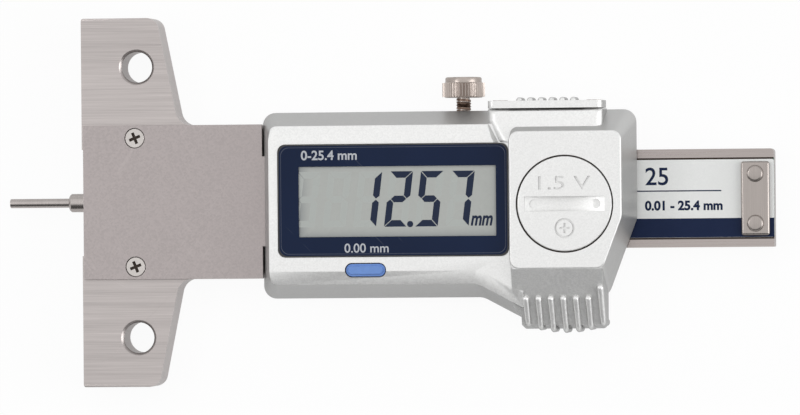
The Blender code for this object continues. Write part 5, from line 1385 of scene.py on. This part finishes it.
def block_rings():
    """Rings of the raised block: rim, and a rounded edge up to the top face."""
    corners = [
        (BLOCK_LEFT_X, HOUSING_BOTTOM_Y),
        (SLANT_BOTTOM_X, HOUSING_BOTTOM_Y),
        (HOUSING_RIGHT_X, SLANT_TOP_Y),
        (HOUSING_RIGHT_X, HOUSING_TOP_Y),
        (BLOCK_LEFT_X, HOUSING_TOP_Y),
    ]
    bottom = BLOCK_BOTTOM_Y - HOUSING_BOTTOM_Y
    top = HOUSING_TOP_Y - BLOCK_TOP_Y
    right = BLOCK_RIGHT_EASE
    upper = inset(corners, [bottom, right, right, top, 0])
    corner = BLOCK_CORNER_R
    upper_radii = [corner, corner, SLANT_CORNER_R, corner, corner]
    lower_radii = [SEAT_GAP, OUTER_CORNER_R, SLANT_CORNER_R, OUTER_CORNER_R, SEAT_GAP]
    rings = [level(rounded(corners, lower_radii), RIM_Z)]
    for step in range(4):
        turn = step * 30 * DEG
        in_by = BLOCK_EDGE * (1 - math.cos(turn))
        face = inset(upper, [in_by] * 5)
        radii = [radius - in_by * 0.9 for radius in upper_radii]
        rings.append(level(rounded(face, radii), BLOCK_Z - BLOCK_EDGE * (1 - math.sin(turn))))
    return rings


def grip_slope_z(y):
    share = (BLOCK_BOTTOM_Y - y) / (BLOCK_BOTTOM_Y - GRIP_BOTTOM_Y - GRIP_DRAFT)
    return BLOCK_Z - share * (BLOCK_Z - GRIP_KNEE_Z)


def grip_body():
    """The thumb grip: its sloped side view, trimmed to its outline seen from the front."""
    inner_y = BLOCK_BOTTOM_Y + BLOCK_CORNER_R
    top = BLOCK_Z - BLOCK_EDGE / 2
    side_view = [
        (inner_y, RIM_Z),
        (GRIP_BOTTOM_Y, RIM_Z),
        (GRIP_BOTTOM_Y + GRIP_DRAFT, GRIP_KNEE_Z),
        (BLOCK_BOTTOM_Y, top),
        (inner_y, top),
    ]
    corners = [
        (GRIP_FOOT_LEFT_X, GRIP_BOTTOM_Y - SEAT_GAP),
        (SLANT_BOTTOM_X, GRIP_BOTTOM_Y - SEAT_GAP),
        (SLANT_BOTTOM_X, inner_y + SEAT_GAP),
        (GRIP_LEFT_X, inner_y + SEAT_GAP),
        (GRIP_LEFT_X, GRIP_CUT_TOP_Y),
        (GRIP_FOOT_LEFT_X, GRIP_CUT_FOOT_Y),
    ]
    outline = rounded(corners, [SEAT_GAP, GRIP_CORNER_R, SEAT_GAP, SEAT_GAP, SEAT_GAP, SEAT_GAP])
    wedge = plate("grip", [side_view], BLOCK_LEFT_X - OVERRUN, HOUSING_RIGHT_X, "YZ")
    combine(wedge, plate("grip_outline", [outline], RIM_Z - OVERRUN, BLOCK_Z), "INTERSECT")
    return soften(wedge, GRIP_SOFTNESS, 3)


def grip_rib(index):
    """One rib of the thumb grip: a rounded bar down the slope and over the knee, widest at its top."""
    middle = (RIB_COUNT - 1) / 2
    off = abs(index - middle) / middle
    last = index == RIB_COUNT - 1
    start = RIB_START_Y + (LAST_RIB_LEAD if last else 0)
    wall_y = GRIP_BOTTOM_Y + RIB_ARC_DROP * off * off
    lean = math.atan2(BLOCK_Z - GRIP_KNEE_Z, BLOCK_BOTTOM_Y - GRIP_BOTTOM_Y - GRIP_DRAFT)
    stations = []
    for step in range(1, RIB_END_STEPS + 1):
        turn = step * 90 * DEG / RIB_END_STEPS
        y = start - RIB_TOP_WIDTH / 2 * (1 - math.cos(turn))
        stations.append((y, grip_slope_z(y), lean, math.sin(turn)))
    knee_y = wall_y + RIB_TURN_R
    slope_y = knee_y - RIB_TURN_R * math.sin(lean)
    knee_z = grip_slope_z(slope_y) - RIB_TURN_R * math.cos(lean)
    for step in range(RIB_KNEE_STEPS + 1):
        tilt = lean + (90 * DEG - lean) * step / RIB_KNEE_STEPS
        stations.append(
            (knee_y - RIB_TURN_R * math.sin(tilt), knee_z + RIB_TURN_R * math.cos(tilt), tilt, 1.0)
        )
    stations.append((wall_y, RIM_Z + SEAT_GAP, 90 * DEG, 1.0))
    rings = []
    for y, z, tilt, share in stations:
        along = min(1.0, (start - y) / (start - wall_y))
        width = RIB_TOP_WIDTH + (RIB_WIDTH - RIB_TOP_WIDTH) * along
        centre = RIB_FIRST_X + index * RIB_PITCH + RIB_SHIFT * along
        ring = []
        for part in range(RIB_SIDES):
            turn = 2 * math.pi * part / RIB_SIDES
            out = RIB_RISE * share * math.sin(turn)
            across = width / 2 * share * math.cos(turn)
            ring.append((centre + across, y - out * math.sin(tilt), z + out * math.cos(tilt)))
        rings.append(ring)
    return loft("rib", rings)


def boss_rings(left, right):
    """Rings of the port's boss: its front leans down a little towards the cover."""
    corners = [
        (left + BOSS_FOOT_SLANT, BOSS_WEB_Y),
        (right, BOSS_WEB_Y),
        (right, BOSS_TOP_Y),
        (left, BOSS_TOP_Y),
        (left, BOSS_SLANT_Y),
    ]
    lean = (BOSS_FOOT_Z - BOSS_TOP_Z) / (BOSS_TOP_Y - BOSS_FOOT_Y)
    small = [SEAT_GAP] * 5
    rings = [
        level(rounded(corners, small), RIM_Z + SEAT_GAP),
        level(rounded(corners, small), BOSS_SHOULDER_Z),
    ]
    for step in range(1, 7):
        turn = step * 15 * DEG
        side = BOSS_SIDE_EASE * (1 - math.cos(turn))
        top = inset(corners, [0, side, side * 0.3, side, side])
        drop = (BOSS_FOOT_Z - BOSS_SHOULDER_Z) * (1 - math.sin(turn))
        radii = [SEAT_GAP + BOSS_CORNER_R * step / 6] * 4 + [BOSS_CORNER_R]
        foot_z = BOSS_FOOT_Z - drop
        rings.append(level(rounded(top, radii), lambda point: foot_z - lean * (point[1] - BOSS_FOOT_Y)))
    return rings


def facet_end(left):
    """The tool that ends the top facet in a slanted step beside the boss."""
    corners = [
        (left + BOSS_FOOT_SLANT, BOSS_WEB_Y - SEAT_GAP),
        (DISPLAY_END_X + OVERRUN, BOSS_WEB_Y - SEAT_GAP),
        (DISPLAY_END_X + OVERRUN, HOUSING_TOP_Y + OVERRUN),
        (left, HOUSING_TOP_Y + OVERRUN),
        (left, BOSS_SLANT_Y),
    ]
    upper = inset(corners, [0, 0, 0, -STEP_WIDTH, -STEP_WIDTH])
    radii = [SEAT_GAP, SEAT_GAP, SEAT_GAP, SEAT_GAP, BOSS_CORNER_R]
    return loft(
        "facet_end",
        [level(rounded(corners, radii), STEP_FLOOR_Z), level(rounded(upper, radii), FACE_Z + SEAT_GAP)],
    )


def window_outline(play):
    low, high = place_of("display_window")
    corners = rectangle(low.x - play, low.y - play, high.x + play, high.y + play)
    return rounded(corners, [WINDOW_R] * 4)


def make_housing():
    port_low, port_high = place_of("port_cover")
    housing = loft("housing", display_rings())
    cut(housing, facet_end(port_low.x))
    join(housing, loft("block", block_rings()))
    join(housing, grip_body())
    join(housing, loft("boss", boss_rings(port_low.x, port_high.x)))
    for index in range(RIB_COUNT):
        join(housing, grip_rib(index))
    window_low = place_of("display_window")[0].z
    cut(housing, plate("recess", [window_outline(0.08 * MM)], window_low - SEAT_GAP, FACE_Z + SEAT_GAP))
    play = 2 * BUTTON_PLAY
    hole = stadium(BUTTON_LENGTH + play, BUTTON_WIDTH + play, (BUTTON_X, BUTTON_Y))
    cut(housing, plate("button_hole", [hole], BUTTON_NECK_Z, FACE_Z + OVERRUN))
    bore = [
        (0, BLOCK_Z + OVERRUN),
        (CAP_BORE_R, BLOCK_Z + OVERRUN),
        (CAP_BORE_R, CAP_STEP_Z),
        (THREAD_BORE_R, CAP_STEP_Z),
        (THREAD_BORE_R, WELL_FLOOR_Z),
        (0, WELL_FLOOR_Z),
    ]
    cut(housing, turned("battery_well", bore, (CAP_X, CAP_Y, 0), "Z", RING_SIDES))
    tongue_low, tongue_high = place_of("cover_plate")
    notch_half = TONGUE_HALF_WIDTH + SEAT_GAP
    notch_high = (tongue_high.x + SEAT_GAP, notch_half, tongue_high.z + SEAT_GAP)
    cut(
        housing,
        box("notch", (HOUSING_LEFT_X - OVERRUN, -notch_half, tongue_low.z - SEAT_GAP), notch_high),
    )
    finish(housing, None, "root", "silver_shell", "front_housing")


def make_port():
    low, high = place_of("port_cover")
    top = high.y - PORT_RIB_RISE - PORT_LID_DROP
    outline = rounded(rectangle(low.x, low.z, high.x, high.z), [PORT_COVER_R] * 4)
    cover = plate("port_lid", [outline], -top, -low.y, "XZ")
    soften(cover, PORT_EDGE, 3)
    for x in (low.x + PORT_SCREW_INSET, high.x - PORT_SCREW_INSET):
        cut(cover, rod("hole", 1.3 * MM, top - 0.7 * MM, top + OVERRUN, (x, 0, PORT_SCREW_Z), "Y"))
    finish(cover, None, "root", "silver_shell", "port_cover")
    tall = PORT_RIB_HIGH_Z - PORT_RIB_LOW_Z
    profile = [(0, tall / 2)]
    for step in range(1, 6):
        turn = step * 18 * DEG
        profile.append((PORT_RIB_R * math.sin(turn), tall / 2 - PORT_RIB_R * (1 - math.cos(turn))))
    profile += [(radius, -height) for radius, height in reversed(profile)]
    rib = turned("rib", profile, (0, 0, 0), "Z", 24)
    middle_z = (PORT_RIB_LOW_Z + PORT_RIB_HIGH_Z) / 2
    axis_y = high.y - PORT_RIB_R
    points = [
        (PORT_RIB_FIRST_X + index * PORT_RIB_PITCH, axis_y, middle_z) for index in range(PORT_RIB_COUNT)
    ]
    ribs = copies("port_ribs", points, rib, "silver_shell")
    finish(ribs, None, "root", "silver_shell")


# Window, display, button and cap


def segment_outlines(digit, left, foot):
    """The lit bars of a seven-bar digit, mitred where they meet."""
    lit = {"0": "abcdef", "1": "bc", "2": "abged", "5": "afgcd", "7": "abc", "8": "abcdefg"}[digit]
    wide = DIGIT_WIDTH
    tall = DIGIT_HEIGHT
    thick = SEGMENT
    half = thick / 2
    gap = SEGMENT_GAP
    middle = tall / 2
    upper = [
        (0, tall - gap),
        (thick, tall - thick - gap),
        (thick, middle + half + gap),
        (half, middle + gap),
        (0, middle + half),
    ]
    level_bar = [
        (gap, tall), (wide - gap, tall), (wide - thick - gap, tall - thick), (thick + gap, tall - thick)
    ]
    centre = [(half + gap, middle), (thick + gap, middle - half), (wide - thick - gap, middle - half)]
    shapes = {
        "a": level_bar,
        "d": [(x, tall - y) for x, y in level_bar],
        "f": upper,
        "b": [(wide - x, y) for x, y in upper],
        "e": [(x, tall - y) for x, y in upper],
        "c": [(wide - x, tall - y) for x, y in upper],
        "g": centre + [(wide - x, tall - y) for x, y in centre],
    }
    slope = math.tan(DIGIT_SLANT)
    return [[(left + x + y * slope, foot + y) for x, y in shapes[name]] for name in lit]


def disc_outline(middle, radius, steps=24):
    turns = [2 * math.pi * step / steps for step in range(steps)]
    return [
        (middle[0] + radius * math.cos(turn), middle[1] + radius * math.sin(turn)) for turn in turns
    ]


def make_window():
    low, high = place_of("display_window")
    view = rounded(rectangle(VIEW_LEFT_X, VIEW_LOW_Y, VIEW_RIGHT_X, VIEW_HIGH_Y), [VIEW_R] * 4)
    window = plate("window_frame", [window_outline(0), view], low.z, high.z - HAIR)
    finish(window, None, "root", "window", "display_window")
    rim = plate(
        "window_border",
        [window_outline(0), window_outline(-RIM_LINE)],
        high.z - HAIR,
        high.z - HAIR / 2,
    )
    finish(rim, MATERIALS["black_plastic"], "root", "window")
    outer = window_outline(-INNER_LINE_INSET)
    inner = window_outline(-INNER_LINE_INSET - INNER_LINE)
    line = plate("window_inner_line", [outer, inner], high.z - HAIR, high.z - HAIR / 2)
    finish(line, FAINT_LINE, "root", "window")
    panel_low = place_of("lcd_panel")[0].z
    top = high.z - LCD_SINK
    around = rectangle(
        VIEW_LEFT_X - OVERRUN, VIEW_LOW_Y - OVERRUN, VIEW_RIGHT_X + OVERRUN, VIEW_HIGH_Y + OVERRUN
    )
    lcd = plate("lcd_face", [around], panel_low, low.z - HAIR)
    seen = rectangle(VIEW_LEFT_X + HAIR, VIEW_LOW_Y + HAIR, VIEW_RIGHT_X - HAIR, VIEW_HIGH_Y - HAIR)
    join(lcd, plate("lcd_step", [seen], low.z - OVERRUN / 2, top))
    finish(lcd, None, "root", "lcd", "lcd_panel")
    lit = []
    ghosts = []
    left = DIGITS_LEFT_X - 2 * DIGIT_PITCH
    for digit in "  1257":
        if digit != " ":
            lit += segment_outlines(digit, left, DIGIT_FOOT_Y)
        ghosts += segment_outlines("8", left, DIGIT_FOOT_Y)
        left += DIGIT_PITCH
    point_x = DIGITS_LEFT_X + 2 * DIGIT_PITCH - (DIGIT_PITCH - DIGIT_WIDTH) / 2 - 0.1 * MM
    lit.append(disc_outline((point_x, DIGIT_FOOT_Y + POINT_R * 0.8), POINT_R))
    finish(plate("resting_segments", ghosts, top - HAIR, top + HAIR / 4), GHOST_INK, "root", "lcd")
    finish(plate("reading_digits", lit, top, top + HAIR), DIGIT_INK, "root", "lcd")
    unit = lettering("reading_unit", "mm", UNIT_HEIGHT, (0, 0), top, 0.03, 0.25, UNIT_SQUEEZE)
    unit.data.transform(Matrix.Translation((UNIT_X, DIGIT_FOOT_Y + 0.15 * MM, 0)))
    finish(unit, DIGIT_INK, "root", "lcd")
    print_z = high.z - HAIR
    range_print = lettering(
        "window_range", "0-25.4 mm", PRINT_HEIGHT, (PRINT_X, PRINT_Y), print_z, 0.02
    )
    finish(range_print, WHITE_PRINT, "root", "window")
    zero_print = lettering("window_zero", "0.00 mm", ZERO_HEIGHT, (ZERO_X, ZERO_Y), print_z, 0.01)
    finish(zero_print, WHITE_PRINT, "root", "window")


def make_button():
    place = (BUTTON_X, BUTTON_Y)
    high = place_of("set_button")[1]
    rim = 2 * BUTTON_RIM
    steps = [
        (0, BUTTON_NECK_Z - high.z),
        (0, -0.42 * MM),
        (0.1 * MM, -0.32 * MM),
        (rim, -0.32 * MM),
        (rim + 0.04 * MM, -0.1 * MM),
        (rim + 0.14 * MM, -0.02 * MM),
        (rim + 0.4 * MM, 0),
    ]
    rings = [
        level(stadium(BUTTON_LENGTH - drop, BUTTON_WIDTH - drop, place), high.z + rise)
        for drop, rise in steps
    ]
    button = loft("button_key", rings)
    finish(button, None, "button_body", "button", "set_button")


def make_cap():
    place = (CAP_X, CAP_Y, 0)
    top = place_of("battery_cap")[1].z
    profile = [(0, top)]
    for step in range(5):
        turn = step * 22.5 * DEG
        profile.append((CAP_R - CAP_EDGE * (1 - math.sin(turn)), top - CAP_EDGE * (1 - math.cos(turn))))
    profile += [
        (CAP_R, CAP_SEAT_Z),
        (CAP_NECK_R, CAP_SEAT_Z),
        (CAP_NECK_R, CAP_NECK_Z),
        (CAP_HOLLOW_R, CAP_NECK_Z),
        (CAP_HOLLOW_R, CAP_HOLLOW_Z),
        (0, CAP_HOLLOW_Z),
    ]
    cap = turned("cap", profile, place, "Z", RING_SIDES)
    half = SLOT_LENGTH / 2
    floor = [(CAP_X - half, top + OVERRUN)]
    for step in range(SLOT_STEPS + 1):
        share = 2 * step / SLOT_STEPS - 1
        deep = SLOT_END_DEPTH + (SLOT_DEPTH - SLOT_END_DEPTH) * (1 - share * share)
        floor.append((CAP_X + share * half, top - deep))
    floor.append((CAP_X + half, top + OVERRUN))
    width = SLOT_WIDTH / 2
    cut(cap, plate("coin_slot", [floor], -CAP_Y - width, -CAP_Y + width, "XZ"))
    for side in (1, -1):
        share = DIMPLE_REACH / half
        deep = SLOT_END_DEPTH + (SLOT_DEPTH - SLOT_END_DEPTH) * (1 - share * share)
        x = CAP_X + side * DIMPLE_REACH
        cut(cap, rod("dimple", DIMPLE_R, top - deep - DIMPLE_DEPTH, top + OVERRUN, (x, CAP_Y, 0)))
    upper = (CAP_X - CAP_FIGURE_WIDTH / 2, CAP_Y + CAP_FIGURE_FOOT)
    cut(cap, engraved("cap_voltage", "1.5 V", CAP_FIGURE_HEIGHT, upper, top, CAP_FIGURE_WIDTH))
    mark = (CAP_X, CAP_Y - CAP_MARK_DROP)
    inner = CAP_MARK_R - CAP_LINE
    low = top - CAP_RELIEF
    cut(cap, turned_ring("cap_mark", inner, CAP_MARK_R, low, top + OVERRUN, mark))
    arm = CAP_MARK_R / 2
    line = CAP_LINE / 2
    for wide, tall in ((arm, line), (line, arm)):
        bar = rectangle(mark[0] - wide, mark[1] - tall, mark[0] + wide, mark[1] + tall)
        cut(cap, plate("cap_plus", [bar], low, top + OVERRUN))
    finish(cap, None, "battery_cap_body", "silver_shell", "battery_cap")
    # A dark ring of painted shade sits in the gap between the cap and its bore.
    shade_z = top - CAP_SHADE_DEPTH
    shade = turned_ring(
        "cap_gap_shade",
        CAP_R + HAIR,
        CAP_BORE_R - HAIR,
        shade_z - SEAT_GAP,
        shade_z,
        (CAP_X, CAP_Y),
        RING_SIDES,
    )
    finish(shade, PAINTED_GROOVE_SHADE, "root", "rubber")


# What stays from the CAD gets its material


def dress_nodes():
    slots = {
        "back_steel": ["back_plate"],
        "frame_steel": ["slider_frame"],
        "brass": ["gib_strip", "battery_contact", "battery_clip", "clamp_shoe"],
        "screw_steel": ["gib_screw_left", "gib_screw_right"],
        "rubber": [
            "beam_wiper",
            "housing_seal",
            "button_seal",
            "cap_seal",
            "port_gasket",
            "lcd_strip_upper",
            "lcd_strip_lower",
        ],
        "board": ["circuit_board", "pickup_board", "scale_strip"],
        "black_plastic": ["tact_switch", "output_socket"],
        "battery_steel": ["battery_cell"],
    }
    for slot, nodes in slots.items():
        for name in nodes:
            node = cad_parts[name]
            for index in range(len(node.material_slots)):
                node.material_slots[index].material = MATERIALS[slot]


# Floor, light and camera


def make_stage():
    floor = plate("studio_floor", [rectangle(-3, -3, 3, 3)], -0.02, 0)
    material = bpy.data.materials.new("studio_white")
    material.use_nodes = True
    tree = material.node_tree
    tree.nodes.clear()
    path = tree.nodes.new("ShaderNodeLightPath").outputs
    mirrored = scaled(tree, path["Is Glossy Ray"], MIRRORED_SHARE)
    seen = maths(
        tree,
        "MAXIMUM",
        maths(tree, "MAXIMUM", path["Is Camera Ray"], mirrored),
        path["Is Transmission Ray"],
    )
    plain = add(tree, "ShaderNodeBsdfDiffuse", {"Color": (0.9, 0.9, 0.9, 1.0)}).outputs[0]
    white = add(tree, "ShaderNodeEmission", {"Color": (1.0, 1.0, 1.0, 1.0), "Strength": 1.0}).outputs[0]
    share = scaled(tree, seen, 0.94)
    mixed = add(tree, "ShaderNodeMixShader", {0: share, 1: plain, 2: white}).outputs[0]
    add(tree, "ShaderNodeOutputMaterial", {"Surface": mixed})
    floor.data.materials.append(material)


def make_light():
    """A bright studio: white along the horizon, softer overhead and darker towards the foot."""
    world = bpy.data.worlds.new("studio_world")
    bpy.context.scene.world = world
    world.use_nodes = True
    tree = world.node_tree
    tree.nodes.clear()
    path = tree.nodes.new("ShaderNodeLightPath").outputs
    seen = maths(tree, "MAXIMUM", path["Is Glossy Ray"], path["Is Transmission Ray"])
    way = add(
        tree, "ShaderNodeSeparateXYZ", {0: tree.nodes.new("ShaderNodeTexCoord").outputs["Generated"]}
    ).outputs
    overhead = spread(tree, way[1], -0.55, -0.12, FOOT_GLOW, HEAD_GLOW)
    low_down = spread(tree, way[2], 0.05, 0.5, RIM_GLOW, 1.0)
    aside = spread(tree, way[0], 0.2, 0.65, 1.0, SIDE_GLOW)
    lighting = scaled(tree, scaled(tree, overhead, low_down), aside)
    around = spread(tree, way[2], 0.05, 0.3, 1.0, 0.0)
    shown = add(tree, "ShaderNodeMix", {0: around, 2: overhead, 3: 1.0}, data_type="FLOAT").outputs[0]
    lit = add(tree, "ShaderNodeMix", {0: seen, 2: lighting, 3: shown}, data_type="FLOAT").outputs[0]
    whole = add(
        tree, "ShaderNodeMix", {0: path["Is Camera Ray"], 2: lit, 3: 1.0}, data_type="FLOAT"
    ).outputs[0]
    sky = add(
        tree, "ShaderNodeBackground", {"Color": (1.0, 1.0, 1.0, 1.0), "Strength": whole}
    ).outputs[0]
    add(tree, "ShaderNodeOutputWorld", {"Surface": sky})
    for name, (place, size, power) in LAMPS.items():
        lamp = bpy.data.lights.new(name, "AREA")
        lamp.shape = "DISK"
        lamp.size = size
        lamp.energy = power
        obj = bpy.data.objects.new(name, lamp)
        obj.location = place
        obj.rotation_euler = (-Vector(place)).to_track_quat("-Z", "Y").to_euler()
        bpy.context.scene.collection.objects.link(obj)


def make_camera():
    camera = bpy.data.cameras.new("photo_camera")
    camera.lens = LENS
    camera.sensor_width = 36.0
    camera.clip_start = 0.05
    obj = bpy.data.objects.new("photo_camera", camera)
    bpy.context.scene.collection.objects.link(obj)
    back = Vector((math.sin(VIEW_TURN), 0, math.cos(VIEW_TURN)))
    right = Vector((math.cos(VIEW_TURN), 0, -math.sin(VIEW_TURN)))
    up = Vector((0, 1, 0))
    rolled_right = math.cos(VIEW_ROLL) * right - math.sin(VIEW_ROLL) * up
    rolled_up = math.sin(VIEW_ROLL) * right + math.cos(VIEW_ROLL) * up
    turn = Matrix((rolled_right, rolled_up, back)).transposed().to_4x4()
    obj.matrix_world = Matrix.Translation(CAMERA_PLACE) @ turn
    bpy.context.scene.camera = obj


bpy.context.scene.view_settings.view_transform = "Standard"
make_camera()
make_light()
make_stage()
make_base()
make_cover()
make_screws()
make_beam()
make_label()
make_stop()
make_probe()
make_clamp()
make_housing()
make_port()
make_window()
make_button()
make_cap()
dress_nodes()
